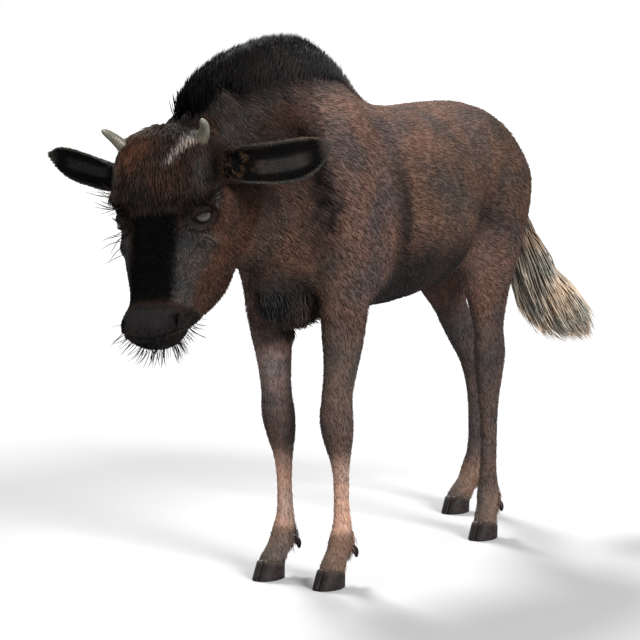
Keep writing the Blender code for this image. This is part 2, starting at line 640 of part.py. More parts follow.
def long_coat(skin):
    """The locks of the mane, the chest and the tail's brush."""
    tree = BVHTree.FromObject(skin, bpy.context.evaluated_depsgraph_get())
    chance = random.Random(5)
    locks = []
    for i in range(MANE_ROWS):
        share = (i + 0.5) / MANE_ROWS
        y = MANE_FRONT + (MANE_BACK - MANE_FRONT) * share
        middle = -0.024 * max(0, 1 - share * 2.2)
        ahead, behind = (drop_on(tree, middle, y + step) for step in (-0.02, 0.02))
        upright = Vector((0, ahead.z - behind.z, behind.y - ahead.y)).normalized()
        for side in (-1, 1):
            x = middle + side * 0.007 + chance.uniform(-0.002, 0.002)
            point = drop_on(tree, x, y + chance.uniform(-0.005, 0.005))
            height = MANE_HEIGHT * min(1, 6 * (1 - share)) + POLL_HEIGHT * max(0, 1 - 4 * share)
            height += chance.uniform(-0.003, 0.003)
            lean = (upright + Vector((side * 0.20, 0.12, 0))).normalized()
            bend = (upright + Vector((0, 0.45 + chance.uniform(-0.2, 0.2), 0))).normalized()
            root = point - upright * 0.010
            locks.append(make_lock(root, lean, bend, height + 0.012, *MANE_LOCK, taper=MANE_TAPER))
    for i in range(2 * BEARD_ROWS):
        share = (i % BEARD_ROWS) / (BEARD_ROWS - 1)
        y = BEARD_FRONT + BEARD_LENGTH * share + chance.uniform(-0.005, 0.005)
        x = (-0.013 if i < BEARD_ROWS else 0.013) + chance.uniform(-0.006, 0.006)
        point = drop_on(tree, x, y, up=True)
        drop = BEARD_BOTTOM + 0.018 * abs((y + 0.325) / 0.09) ** 2 + chance.uniform(-0.004, 0.012)
        start = Vector((x * 4, 0.10, -1)).normalized()
        end = Vector((0, 0.30, -1)).normalized()
        length = max(0.035, point.z + 0.012 - drop)
        locks.append(make_lock(point - start * 0.012, start, end, length, *BEARD_LOCK))
    dock = flow(DOCK, 6)
    for i in range(TAIL_LOCKS):
        share = TAIL_START + TAIL_SPAN * i / (TAIL_LOCKS - 1)
        row = dock[int(share * (len(dock) - 1))]
        turn = i * TAIL_TURN
        out = Vector((math.cos(turn), 0.55 * math.sin(turn), 0.55 * math.sin(turn)))
        root = Vector(row[:3]) + out * row[3] * 0.35
        start = (Vector((0.16, 0.36, -0.88)) + out * 0.34).normalized()
        end = (Vector((0.30, 0.74, -0.62)) - out * 0.05).normalized()
        length = 0.12 + 0.08 * chance.random() - 0.10 * (share - 0.5)
        flat = out.normalized() + Vector((0, 0.1, 0.1))
        locks.append(make_lock(root, start, end, length, *TAIL_LOCK, flat))
    return locks


# Where the body is parted: a point, the way across the cut, and the plate's width and height.
CUTS = [
    (HEAD_PLACE @ Vector((0, 0.146, -0.055)), HEAD_PLACE.to_3x3() @ Vector((0, 0.94, 0.34)),
     0.34, 0.54),
    (Vector((0, -0.400, 0.715)), Vector((0, 0.95, -0.30)), 0.32, 0.52),
    (Vector((0.007, 0.492, 0.634)), Vector((0.1, 0.50, -0.86)), 0.09, 0.07),
]
# Each leg is parted at these heights, by a plate as wide and as long as this.
LEG_CUTS = {
    "fore": ((0.455, 0.105, 0.170), (0.300, 0.100, 0.140), (0.088, 0.090, 0.110)),
    "hind": ((0.462, 0.118, 0.250), (0.372, 0.100, 0.170), (0.088, 0.090, 0.110)),
}
LEG_PARTS = {
    "fore": (("forearm", 0.38), ("shank", 0.20), ("pastern", 0.060)),
    "hind": (("gaskin", 0.41), ("shank", 0.20), ("pastern", 0.060)),
}

COLOURS = {
    "head": (0.050, 0.033, 0.026), "neck": (0.045, 0.036, 0.030), "torso": (0.060, 0.040, 0.030),
    "tail": (0.32, 0.29, 0.24), "ear": (0.020, 0.018, 0.017), "eye": (0.012, 0.009, 0.008),
    "horn": (0.16, 0.16, 0.12), "claw": (0.035, 0.031, 0.030), "dewclaw": (0.035, 0.031, 0.030),
    "forearm": (0.060, 0.044, 0.036), "gaskin": (0.085, 0.062, 0.046),
    "shank": (0.150, 0.115, 0.092), "pastern": (0.100, 0.078, 0.064),
}


def on_leg(sizes, path, height):
    """The middle of a leg at a height."""
    heights = [-row[0] for row in sizes]
    x = np.interp(-height, heights, [at[0] for at in path])
    y = np.interp(-height, heights, [at[1] for at in path])
    return Vector((x, y, height))


def parted(made, places):
    """Makes a node of each loose part of a mesh that lies nearest to a named place."""
    mesh = bmesh.new()
    mesh.from_mesh(made.data)
    mesh.verts.ensure_lookup_table()
    group = {}
    for start in mesh.verts:
        if start in group:
            continue
        group[start] = start
        waiting = [start]
        while waiting:
            for edge in waiting.pop().link_edges:
                for vert in edge.verts:
                    if vert not in group:
                        group[vert] = start
                        waiting.append(vert)
    nodes = []
    taken = set()
    for name, place in places.items():
        nearest = min(mesh.verts, key=lambda vert: (vert.co - place).length_squared)
        start = group[nearest]
        if start in taken:
            raise ValueError("two names for one part: " + name)
        taken.add(start)
        part = bmesh.new()
        copies = {v: part.verts.new(v.co) for v in mesh.verts if group[v] is start}
        for face in mesh.faces:
            if face.verts[0] in copies:
                part.faces.new([copies[v] for v in face.verts])
        nodes.append(as_object(name, part))
    spare = len(set(group.values())) - len(taken)
    print("parts", len(taken), "crumbs left out", spare)
    mesh.free()
    bpy.data.objects.remove(made)
    return nodes


def material_for(name):
    word = name.split("_")[0]
    if word in ("fore", "hind"):
        word = name.split("_")[2]
    made = bpy.data.materials.new(name)
    made.use_nodes = True
    shader = made.node_tree.nodes["Principled BSDF"]
    shader.inputs["Base Color"].default_value = (*COLOURS[word], 1)
    shader.inputs["Roughness"].default_value = 0.15 if word == "eye" else 0.75
    return made


def finish(nodes):
    """Puts the middle of the whole on the axis, and gives each node its material."""
    corners = [Vector(corner) for made in nodes for corner in made.bound_box]
    low = Vector(min(corner[i] for corner in corners) for i in range(3))
    high = Vector(max(corner[i] for corner in corners) for i in range(3))
    shift = -(low + high) / 2
    shift.z = 0
    home = bpy.data.collections.new("wildebeest")
    bpy.context.scene.collection.children.link(home)
    for made in nodes:
        made.data.transform(Matrix.Translation(shift))
        made.data.materials.append(material_for(made.name))
        bpy.context.scene.collection.objects.unlink(made)
        home.objects.link(made)
        made.data.shade_smooth()
    count = sum(len(face.vertices) - 2 for made in nodes for face in made.data.polygons)
    print("nodes", len(nodes), "triangles", count, "shift", shift[:], "size", (high - low)[:])


def main():
    for old in list(bpy.data.objects):
        bpy.data.objects.remove(old)
    skin = make_skin()
    lids = ball("lids", EYE_AT, LID_RADIUS)
    extras = on_head(make_ear("left"), make_ear("right"), lids, mirrored(lids)) + long_coat(skin)
    combine(skin, extras, "UNION")

    places = {
        "head": HEAD_PLACE @ Vector((0, -0.01, -0.20)),
        "neck": Vector((0.06, -0.52, 0.72)),
        "torso": Vector((0.13, 0.0, 0.62)),
        "tail": Vector((0.010, 0.505, 0.612)),
    }
    away = [mouth("mouth")]
    for made in (almond("opening"), ball("socket", EYE_AT, EYE_RADIUS + GAP), nostril("nostril"),
                 make_horn("socket", GAP)):
        away += [made, mirrored(made)]
    on_head(*away)
    for side, tip in EAR_TIPS.items():
        root = Vector((math.copysign(EAR_ROOT.x, tip.x), EAR_ROOT.y, EAR_ROOT.z))
        way = (tip - root).normalized()
        at = HEAD_PLACE @ (root + way * 0.030 + Vector((0, -0.006, -0.002)))
        away.append(slab("ear_cut", at, HEAD_PLACE.to_3x3() @ way, *EAR_CUT))
        places["ear_" + side] = HEAD_PLACE @ tip
    away += [slab("cut", *cut) for cut in CUTS]

    crisp = []
    for leg, (sizes, path) in LEGS.items():
        for height, wide, long in LEG_CUTS[leg[:4]]:
            at = on_leg(sizes, path, height)
            away.append(slab("cut", at, (0, 0, 1), wide, long))
        for part, height in LEG_PARTS[leg[:4]]:
            places[leg + "_" + part] = on_leg(sizes, path, height)
        foot = coronet(path)
        normal = Vector((0, CORONET_SLOPE, 1)).normalized()
        below = foot + Vector((0, 0, coronet_height(0))) - normal * FOOT_PLATE / 2
        away.append(slab("foot_cut", below, normal, 0.09, 0.11, FOOT_PLATE))
        fetlock = Vector((*path[-4], 0))
        for side, word in ((1, "outer"), (-1, "inner")):
            turned = side if foot.x > 0 else -side
            crisp.append(make_claw(leg + "_claw_" + word, foot, turned))
            crisp.append(make_dewclaw(leg + "_dewclaw_" + word, fetlock, turned))
            away.append(make_dewclaw("dewclaw_socket", fetlock, turned, GAP))
    combine(skin, away, "DIFFERENCE")

    horn, eye = make_horn("horn_left"), ball("eye_left", EYE_AT, EYE_RADIUS)
    pair = [mirrored(horn), mirrored(eye)]
    pair[0].name, pair[1].name = "horn_right", "eye_right"
    crisp += on_head(horn, eye, *pair)
    finish(parted(skin, places) + crisp)


main()
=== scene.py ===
# %% [markdown]
# # A young black wildebeest, standing
# The animal is a calf of some months: dark coat, short straight horns, a standing mane, a beard
# between the forelegs and a pale tail. Its flesh is one skin over lofted rings, as in the CAD
# model, and the coat is thousands of small solid tufts that Geometry Nodes set on that skin.
# Lengths are metres. The animal faces -Y, its left side is +X, and it stands on z = 0.

import json
import math
from collections import namedtuple

import bmesh
import bpy
import numpy as np
from mathutils import Euler, Matrix, Vector
from mathutils.bvhtree import BVHTree

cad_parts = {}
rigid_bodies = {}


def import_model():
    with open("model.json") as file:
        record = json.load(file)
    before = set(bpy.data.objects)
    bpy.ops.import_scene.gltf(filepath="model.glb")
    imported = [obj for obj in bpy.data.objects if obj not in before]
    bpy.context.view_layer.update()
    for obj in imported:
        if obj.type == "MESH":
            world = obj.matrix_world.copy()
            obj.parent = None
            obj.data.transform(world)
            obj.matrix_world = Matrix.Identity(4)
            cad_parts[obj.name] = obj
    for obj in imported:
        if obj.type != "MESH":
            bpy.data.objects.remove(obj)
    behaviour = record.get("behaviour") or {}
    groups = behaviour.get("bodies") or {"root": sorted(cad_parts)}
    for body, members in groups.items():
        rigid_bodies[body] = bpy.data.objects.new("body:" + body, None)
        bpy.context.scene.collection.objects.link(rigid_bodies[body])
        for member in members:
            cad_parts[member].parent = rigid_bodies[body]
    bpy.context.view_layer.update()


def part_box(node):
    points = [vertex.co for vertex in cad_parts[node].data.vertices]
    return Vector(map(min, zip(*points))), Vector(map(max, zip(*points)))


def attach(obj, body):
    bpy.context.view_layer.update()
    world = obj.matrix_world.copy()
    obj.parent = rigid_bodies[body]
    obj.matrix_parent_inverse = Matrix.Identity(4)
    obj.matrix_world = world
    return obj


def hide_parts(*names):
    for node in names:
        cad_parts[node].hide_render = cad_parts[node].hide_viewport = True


for old in list(bpy.data.objects):
    bpy.data.objects.remove(old)
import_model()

# %% [markdown]
# The head hangs from the neck at an angle, so it is drawn straight and then placed by one matrix.
# The CAD model was moved to centre its box, and the left eye's node tells by how much: every new
# piece is made in the drawing's own place and moved by that step at its end.

# %% The places of the head and eyes
HEAD_PLACE = Matrix.LocRotScale(
    Vector((-0.037, -0.690, 0.749)),
    Euler((math.radians(-18), math.radians(-6), math.radians(6.5))),
    None,
)
EYE_AT = Vector((0.0632, 0.0226, -0.1126))
EYE_AXIS = Vector((0.80, -0.56, -0.20)).normalized()
EYE_LONG = Vector((0.585, 0.69, 0.42)).normalized()
EYE_TALL = EYE_LONG.cross(EYE_AXIS).normalized()
EYE_TALL *= math.copysign(1, EYE_TALL.z)
EYE_RADIUS = 0.0170

low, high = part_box("eye_left")
SHIFT = (low + high) / 2 - HEAD_PLACE @ EYE_AT
print("shift", SHIFT[:])

# %% [markdown]
# The photograph was taken with a long lens from the animal's left front, a little above its back.

# %% Camera
CAMERA_AT = Vector((2.37799404, -4.46718636, 0.92152386))
CAMERA_ANGLES = (29.4, 5.7)  # azimuth from -Y towards +X, and elevation, in degrees
LENS = 161.3


def towards(azimuth, elevation):
    """The way from the animal to what stands at an azimuth and elevation, in degrees."""
    turn, rise = math.radians(azimuth), math.radians(elevation)
    return Vector((math.sin(turn) * math.cos(rise), -math.cos(turn) * math.cos(rise), math.sin(rise)))


def new_object(name, data):
    made = bpy.data.objects.new(name, data)
    scene.collection.objects.link(made)
    return made


scene = bpy.context.scene
scene.view_settings.view_transform = "Standard"
camera = new_object("camera", bpy.data.cameras.new("camera"))
camera.data.lens = LENS
camera.data.clip_end = 200
camera.location = CAMERA_AT + SHIFT
camera.rotation_mode = "QUATERNION"
camera.rotation_quaternion = (-towards(*CAMERA_ANGLES)).to_track_quat("-Z", "Y")
scene.camera = camera
print("camera at", camera.location[:])

# %% [markdown]
# The photograph's floor shows two soft shadows, one running away from the camera and one towards
# it: a broad low lamp in front, and another behind the animal. A sun lamp with a wide disc stands
# for each, because it lights the pale floor evenly as far as the white sky behind.

# %% Light and floor
# Each lamp's name, azimuth, elevation, strength and the width of its disc in degrees.
LAMPS = [("front", 64, 29, 7.4, 18), ("behind", 228, 42, 6.2, 14)]
FLOOR_REACH = 40
FLOOR_GREY = 0.262

world = bpy.data.worlds.new("sky")
world.use_nodes = True
sky = world.node_tree.nodes["Background"]
sky.inputs["Color"].default_value = (1, 1, 1, 1)
sky.inputs["Strength"].default_value = 1.0
scene.world = world

for name, azimuth, elevation, strength, disc in LAMPS:
    lamp = new_object(name, bpy.data.lights.new(name, "SUN"))
    lamp.data.angle = math.radians(disc)
    lamp.data.energy = strength
    lamp.rotation_euler = towards(azimuth, elevation).to_track_quat("Z", "Y").to_euler()

corners = [(-1, -1, 0), (1, -1, 0), (1, 1, 0), (-1, 1, 0)]
floor = new_object("floor", bpy.data.meshes.new("floor"))
floor.data.from_pydata([Vector(corner) * FLOOR_REACH for corner in corners], [], [(0, 1, 2, 3)])
floor_paint = bpy.data.materials.new("floor")
floor_paint.use_nodes = True
floor_shader = floor_paint.node_tree.nodes["Principled BSDF"]
floor_shader.inputs["Base Color"].default_value = (FLOOR_GREY, FLOOR_GREY, FLOOR_GREY, 1)
floor_shader.inputs["Roughness"].default_value = 0.9
floor.data.materials.append(floor_paint)
print("lamps", [lamp[0] for lamp in LAMPS])

# %% [markdown]
# ## The flesh
# A body can be sculpted, but rings are exact and easy to change: each is an oval across the trunk,
# a limb or the head, and a smooth skin is stretched over them. These are the CAD model's own
# rings, so that the skin of the render lies just under the solids' surface.

# %% The trunk's rings
# A ring is an oval across a body or a limb. Its front and back are points (y, z) of the side view,
# half is half its width, and at is the x of its middle. Blunt is the power of the oval's front and
# back ends: 2 is an ellipse, less is sharper and more is boxier. Wide is where the oval is widest,
# as a share of the way from front to back.
Ring = namedtuple("Ring", "front back half at blunt_front blunt_back wide")


def ring(front, back, half, at=0.0, blunt=(2.0, 2.0), wide=0.5):
    return Ring(front, back, half, at, blunt[0], blunt[1], wide)


# Rump, barrel, withers and neck. Here the front of a ring is its top and the back its underside.
TRUNK = [
    ring((0.450, 0.676), (0.452, 0.606), 0.030),
    ring((0.438, 0.716), (0.436, 0.556), 0.066),
    ring((0.404, 0.751), (0.404, 0.514), 0.092, blunt=(1.9, 2.0)),
    ring((0.345, 0.784), (0.345, 0.492), 0.110, blunt=(1.9, 2.0)),
    ring((0.260, 0.801), (0.255, 0.492), 0.118, blunt=(2.0, 2.1), wide=0.52),
    ring((0.170, 0.804), (0.160, 0.487), 0.126, blunt=(2.1, 2.2), wide=0.54),
    ring((0.070, 0.801), (0.060, 0.466), 0.135, blunt=(2.2, 2.3), wide=0.56),
    ring((-0.030, 0.800), (-0.040, 0.453), 0.140, blunt=(2.1, 2.3), wide=0.57),
    ring((-0.120, 0.810), (-0.140, 0.449), 0.134, blunt=(1.9, 2.2), wide=0.57),
    ring((-0.190, 0.842), (-0.220, 0.456), 0.122, blunt=(1.7, 2.1), wide=0.58),
    ring((-0.270, 0.876), (-0.310, 0.470), 0.110, blunt=(1.6, 2.0), wide=0.58),
    ring((-0.350, 0.890), (-0.400, 0.498), 0.100, blunt=(1.6, 1.9), wide=0.56),
    ring((-0.425, 0.888), (-0.465, 0.529), 0.090, at=-0.002, blunt=(1.6, 1.9), wide=0.55),
    ring((-0.500, 0.872), (-0.520, 0.540), 0.084, at=-0.007, blunt=(1.7, 1.9), wide=0.54),
    ring((-0.565, 0.849), (-0.570, 0.548), 0.080, at=-0.014, blunt=(1.8, 1.9), wide=0.52),
    ring((-0.618, 0.808), (-0.610, 0.575), 0.074, at=-0.021, blunt=(1.9, 1.9)),
    ring((-0.660, 0.774), (-0.640, 0.620), 0.060, at=-0.026),
]

# The shoulder blade and upper arm of one side, as a pad that lies on the trunk.
SHOULDER = [
    ring((-0.290, 0.850), (-0.235, 0.846), 0.016, at=0.030),
    ring((-0.340, 0.800), (-0.200, 0.790), 0.032, at=0.057),
    ring((-0.378, 0.730), (-0.180, 0.715), 0.040, at=0.072),
    ring((-0.408, 0.655), (-0.168, 0.640), 0.043, at=0.082),
    ring((-0.408, 0.590), (-0.165, 0.570), 0.043, at=0.084),
    ring((-0.372, 0.530), (-0.172, 0.520), 0.040, at=0.081),
    ring((-0.340, 0.480), (-0.215, 0.475), 0.035, at=0.077),
]
print("rings of trunk and shoulder", len(TRUNK), len(SHOULDER))

# %% [markdown]
# The legs of a young antelope are thin bones under tight skin, wide only at the knee, the hock and
# the fetlock. Left and right legs are alike, so they share their rings' sizes, and each has its own
# path for how it stands.

# %% The legs' rings
# Each row is a height, half depth and half width of a leg, from the body down to the coronet.
FORELEG_SIZES = [
    (0.580, 0.080, 0.045), (0.520, 0.066, 0.043), (0.470, 0.058, 0.040), (0.420, 0.048, 0.034),
    (0.365, 0.038, 0.0275), (0.322, 0.032, 0.0260), (0.278, 0.0335, 0.0290),
    (0.243, 0.030, 0.0250), (0.208, 0.021, 0.0180), (0.140, 0.0172, 0.0142),
    (0.100, 0.0205, 0.0170), (0.074, 0.0265, 0.0210), (0.052, 0.0225, 0.0205),
    (0.034, 0.0245, 0.0230), (0.016, 0.0230, 0.0230),
]
HINDLEG_SIZES = [
    (0.700, 0.108, 0.052), (0.630, 0.120, 0.055), (0.565, 0.101, 0.055), (0.510, 0.085, 0.050),
    (0.470, 0.071, 0.042), (0.430, 0.056, 0.0310), (0.385, 0.0440, 0.0235),
    (0.335, 0.0480, 0.0240), (0.300, 0.0400, 0.0225), (0.255, 0.0295, 0.0180),
    (0.170, 0.0215, 0.0155), (0.112, 0.0225, 0.0170), (0.076, 0.0275, 0.0215),
    (0.052, 0.0235, 0.0210), (0.034, 0.0250, 0.0232), (0.016, 0.0235, 0.0232),
]
# The middles (x, y) of those rings on each leg. The right hind leg is stretched well back.
FORE_LEFT = [
    (0.078, -0.290), (0.079, -0.296), (0.077, -0.301), (0.076, -0.303), (0.074, -0.308),
    (0.073, -0.318), (0.073, -0.320), (0.072, -0.311), (0.072, -0.305), (0.072, -0.301),
    (0.072, -0.299), (0.072, -0.303), (0.072, -0.316), (0.072, -0.330), (0.072, -0.342),
]
FORE_RIGHT = [
    (-0.078, -0.288), (-0.078, -0.290), (-0.075, -0.289), (-0.072, -0.286), (-0.068, -0.284),
    (-0.064, -0.285), (-0.061, -0.283), (-0.059, -0.277), (-0.057, -0.274), (-0.055, -0.272),
    (-0.055, -0.271), (-0.055, -0.276), (-0.056, -0.290), (-0.058, -0.305), (-0.060, -0.318),
]
HIND_LEFT = [
    (0.062, 0.325), (0.066, 0.290), (0.073, 0.256), (0.079, 0.238), (0.078, 0.236),
    (0.079, 0.239), (0.080, 0.241), (0.080, 0.246), (0.080, 0.244), (0.080, 0.243),
    (0.080, 0.244), (0.080, 0.242), (0.081, 0.240), (0.083, 0.232), (0.085, 0.222),
    (0.088, 0.212),
]
HIND_RIGHT = [
    (-0.062, 0.328), (-0.068, 0.308), (-0.072, 0.312), (-0.076, 0.338), (-0.077, 0.368),
    (-0.081, 0.400), (-0.087, 0.432), (-0.082, 0.482), (-0.080, 0.498), (-0.079, 0.507),
    (-0.078, 0.511), (-0.078, 0.507), (-0.080, 0.496), (-0.083, 0.480), (-0.087, 0.462),
    (-0.091, 0.446),
]
LEGS = {
    "fore_left": (FORELEG_SIZES, FORE_LEFT),
    "fore_right": (FORELEG_SIZES, FORE_RIGHT),
    "hind_left": (HINDLEG_SIZES, HIND_LEFT),
    "hind_right": (HINDLEG_SIZES, HIND_RIGHT),
}
print("rings of a foreleg and a hind leg", len(FORELEG_SIZES), len(HINDLEG_SIZES))

# %% [markdown]
# The head is a long wedge with a broad square muzzle. The crest is a thin ridge on the neck that
# bears the mane, and the dock is the flesh of the tail. Rings give their bulk, and small pushes
# then raise the bones and sink the hollows, which would take too many rings.

# %% The head, crest and tail
HEAD = [
    ring((0.022, 0.044), (0.056, 0.040), 0.038),
    ring((0.000, 0.028), (0.096, 0.022), 0.076, blunt=(2.4, 2.0)),
    ring((-0.018, -0.008), (0.134, -0.018), 0.095, blunt=(2.6, 2.0)),
    ring((-0.028, -0.045), (0.156, -0.064), 0.099, blunt=(2.6, 2.0)),
    ring((-0.026, -0.086), (0.176, -0.110), 0.094, blunt=(2.5, 2.1)),
    ring((-0.017, -0.124), (0.186, -0.154), 0.086, blunt=(2.4, 2.2)),
    ring((-0.012, -0.162), (0.179, -0.194), 0.078, blunt=(2.5, 2.3)),
    ring((-0.010, -0.200), (0.156, -0.228), 0.066, blunt=(2.6, 2.2)),
    ring((-0.011, -0.235), (0.122, -0.254), 0.055, blunt=(2.7, 2.1)),
    ring((-0.016, -0.264), (0.093, -0.274), 0.050, blunt=(2.9, 2.0), wide=0.38),
    ring((-0.018, -0.290), (0.070, -0.290), 0.050, blunt=(3.0, 1.9), wide=0.34),
    ring((-0.012, -0.310), (0.056, -0.303), 0.043, blunt=(2.9, 1.8), wide=0.34),
    ring((0.004, -0.320), (0.046, -0.312), 0.031, wide=0.4),
    ring((0.014, -0.324), (0.038, -0.319), 0.016, wide=0.4),
]

# The crest of the neck, which holds the lower half of the mane.
CREST = [
    ring((-0.646, 0.800), (-0.640, 0.765), 0.010, at=-0.022),
    ring((-0.612, 0.836), (-0.604, 0.790), 0.014, at=-0.018),
    ring((-0.560, 0.872), (-0.550, 0.820), 0.016, at=-0.012),
    ring((-0.490, 0.893), (-0.485, 0.840), 0.016, at=-0.006),
    ring((-0.410, 0.905), (-0.410, 0.850), 0.016, at=-0.002),
    ring((-0.330, 0.903), (-0.335, 0.850), 0.016),
    ring((-0.250, 0.880), (-0.265, 0.830), 0.014),
    ring((-0.180, 0.848), (-0.195, 0.805), 0.011),
    ring((-0.135, 0.820), (-0.145, 0.790), 0.007),
]

# The tail's dock and the core of its brush, as (x, y, z, radius).
DOCK = [
    (0.000, 0.400, 0.712, 0.024), (0.001, 0.444, 0.692, 0.025), (0.004, 0.478, 0.656, 0.022),
    (0.008, 0.496, 0.612, 0.020), (0.011, 0.506, 0.568, 0.022), (0.015, 0.517, 0.524, 0.028),
    (0.022, 0.536, 0.482, 0.032), (0.032, 0.564, 0.446, 0.026), (0.044, 0.596, 0.418, 0.010),
]

# A push moves the skin round a point: where it is, how far it reaches, and which way it goes. Each
# is made on the left side and on the right.
BODY_PUSHES = [
    ((0.135, 0.160, 0.600), (0.050, 0.050, 0.080), (-0.012, 0.000, 0.000)),  # flank
    ((0.100, 0.215, 0.768), (0.030, 0.040, 0.028), (0.008, 0.000, 0.005)),  # point of the hip
    ((0.140, -0.130, 0.600), (0.040, 0.032, 0.120), (-0.008, 0.000, 0.000)),  # behind the shoulder
    ((0.090, -0.405, 0.600), (0.030, 0.030, 0.045), (0.004, -0.006, 0.000)),  # shoulder point
    ((0.095, -0.190, 0.505), (0.030, 0.028, 0.035), (0.003, 0.009, 0.000)),  # elbow
    ((0.075, -0.500, 0.610), (0.030, 0.080, 0.030), (-0.006, 0.000, 0.000)),  # throat groove
]
HEAD_PUSHES = [
    ((0.072, 0.000, -0.082), (0.024, 0.022, 0.013), (0.006, -0.008, -0.002)),  # brow
    ((0.055, -0.006, -0.126), (0.014, 0.016, 0.014), (-0.004, 0.004, 0.000)),  # inner corner
    ((0.046, -0.012, -0.160), (0.020, 0.030, 0.030), (-0.005, 0.003, 0.000)),  # below the eye
    ((0.080, 0.035, -0.152), (0.020, 0.040, 0.011), (0.005, -0.003, 0.000)),  # cheek bone
    ((0.088, 0.110, -0.145), (0.030, 0.045, 0.050), (0.006, 0.000, 0.000)),  # cheek
    ((0.058, 0.072, -0.236), (0.022, 0.024, 0.024), (-0.006, 0.000, 0.000)),  # behind the mouth
    ((0.094, 0.045, -0.066), (0.020, 0.024, 0.030), (-0.008, 0.002, 0.000)),  # temple
    ((0.047, -0.004, -0.284), (0.016, 0.020, 0.016), (0.005, -0.004, 0.000)),  # nostril
    ((0.050, 0.020, -0.297), (0.020, 0.022, 0.010), (0.004, 0.000, 0.000)),  # upper lip
    ((0.048, 0.058, -0.288), (0.020, 0.020, 0.014), (-0.006, 0.000, 0.000)),  # lower jaw
]
print("rings of the head", len(HEAD), "and pushes", len(BODY_PUSHES + HEAD_PUSHES))

# %% [markdown]
# The rings are too few to look smooth, so a cubic curve runs through their sizes and gives the
# rings between.

# %% Rings between rings
def flow(rows, steps):
    """The rows run together along smooth curves, with so many steps between two rows."""
    rows = np.array(rows, float)
    spans = np.linalg.norm(np.diff(rows[:, :4], axis=0), axis=1)
    at = np.concatenate([[0], np.cumsum(spans)])
    slope = np.gradient(rows, at, axis=0)
    made = []
    for i in range(len(rows) - 1):
        span = at[i + 1] - at[i]
        for t in np.arange(steps) / steps:
            made.append(
                (1 + 2 * t) * (1 - t) ** 2 * rows[i]
                + t * (1 - t) ** 2 * span * slope[i]
                + t * t * (3 - 2 * t) * rows[i + 1]
                + t * t * (t - 1) * span * slope[i + 1]
            )
    return np.array(made + [rows[-1]])


print("between the rows 0 and 1:", flow([(0.0,), (1.0,)], 4).ravel())

# %% [markdown]
# Each body is a closed grid of quads from ring to ring, with a flat end or a point.

# %% Lofts from rings
def as_object(name, mesh):
    """A bmesh as an object, with its faces turned outwards."""
    data = bpy.data.meshes.new(name)
    bmesh.ops.recalc_face_normals(mesh, faces=mesh.faces)
    mesh.to_mesh(data)
    mesh.free()
    return new_object(name, data)


def skinned(name, loops, tips=(None, None)):
    """A closed mesh over loops of points. A tip is a point that ends it, in place of a flat end."""
    mesh = bmesh.new()
    made = [[mesh.verts.new(point) for point in loop] for loop in loops]
    around = len(made[0])
    for one, two in zip(made, made[1:]):
        for k in range(around):
            mesh.faces.new((one[k], one[(k + 1) % around], two[(k + 1) % around], two[k]))
    for end, tip in zip((made[0], made[-1]), tips):
        if tip is None:
            mesh.faces.new(end)
            continue
        point = mesh.verts.new(tip)
        for k in range(around):
            mesh.faces.new((end[k], end[(k + 1) % around], point))
    return as_object(name, mesh)


def loft(name, rings, steps=4, around=28):
    """One closed mesh through the rings, each an oval."""
    rows = flow([(*r.front, *r.back, *r[2:]) for r in rings], steps)
    turn = np.linspace(0, 2 * math.pi, around, endpoint=False)
    along, across = np.cos(turn), np.sin(turn)
    loops = []
    for y0, z0, y1, z1, half, at, blunt_front, blunt_back, wide in rows:
        front, rear = np.array((y0, z0)), np.array((y1, z1))
        middle = front + (rear - front) * wide
        power = np.where(along > 0, 2 / blunt_front, 2 / blunt_back)
        reach = np.where(along[:, None] > 0, front - middle, middle - rear)
        side = middle + reach * (np.sign(along) * np.abs(along) ** power)[:, None]
        x = at + half * np.sign(across) * np.abs(across) ** power
        loops.append(np.column_stack((x, side)))
    return skinned(name, loops)


# %% [markdown]
# A leg's rings lie square to the bone, also where it slants. So a limb is a loft whose rings are
# turned along its path, and a tube is a round body for the dock, the horns and the lashes.

# %% Limbs and tubes
def limb(name, sizes, path):
    """A leg: each ring lies square to the path that its middle follows."""
    middles = np.array([(y, z) for (x, y), (z, *_) in zip(path, sizes)])
    run = np.gradient(middles, axis=0)
    rings = []
    for (x, _), (_, depth, half), middle, way in zip(path, sizes, middles, run):
        way = way / np.linalg.norm(way)
        ahead = np.array((way[1], -way[0])) * depth
        rings.append(ring(tuple(middle + ahead), tuple(middle - ahead), half, at=x))
    return loft(name, rings, around=24)


def tube(name, path, around=10, steps=3, tipped=False):
    """A round body along points (x, y, z, radius)."""
    rows = flow(path, steps)
    run = np.gradient(rows[:, :3], axis=0)
    loops = []
    for row, way in zip(rows, run):
        way = Vector(way).normalized()
        side = way.cross(Vector((1, 0, 0))).normalized()
        up = way.cross(side)
        turns = (2 * math.pi * k / around for k in range(around))
        loops.append(
            [Vector(row[:3]) + (side * math.cos(t) + up * math.sin(t)) * row[3] for t in turns]
        )
    end = Vector(rows[-1][:3] + run[-1] * 0.3) if tipped else None
    return skinned(name, loops, (None, end))


def mirrored(made, name):
    """The same piece on the right side, with its faces still outwards."""
    other = made.copy()
    other.data = made.data.copy()
    other.name = name
    scene.collection.objects.link(other)
    other.data.transform(Matrix.Scale(-1, 4, (1, 0, 0)))
    other.data.flip_normals()
    return other


# %% [markdown]
# Flesh has no edges, so the pieces are joined into one mesh before anything is smoothed, and the
# later steps move its points as arrays of numbers.

# %% Modifiers, joins and points
def settle(made):
    """Applies the piece's modifiers."""
    bpy.context.view_layer.update()
    view = bpy.context.evaluated_depsgraph_get()
    data = bpy.data.meshes.new_from_object(made.evaluated_get(view))
    made.modifiers.clear()
    made.data = data


def join(name, pieces):
    """One object out of several meshes that overlap."""
    mesh = bmesh.new()
    for piece in pieces:
        mesh.from_mesh(piece.data)
        bpy.data.objects.remove(piece)
    data = bpy.data.meshes.new(name)
    mesh.to_mesh(data)
    mesh.free()
    return new_object(name, data)


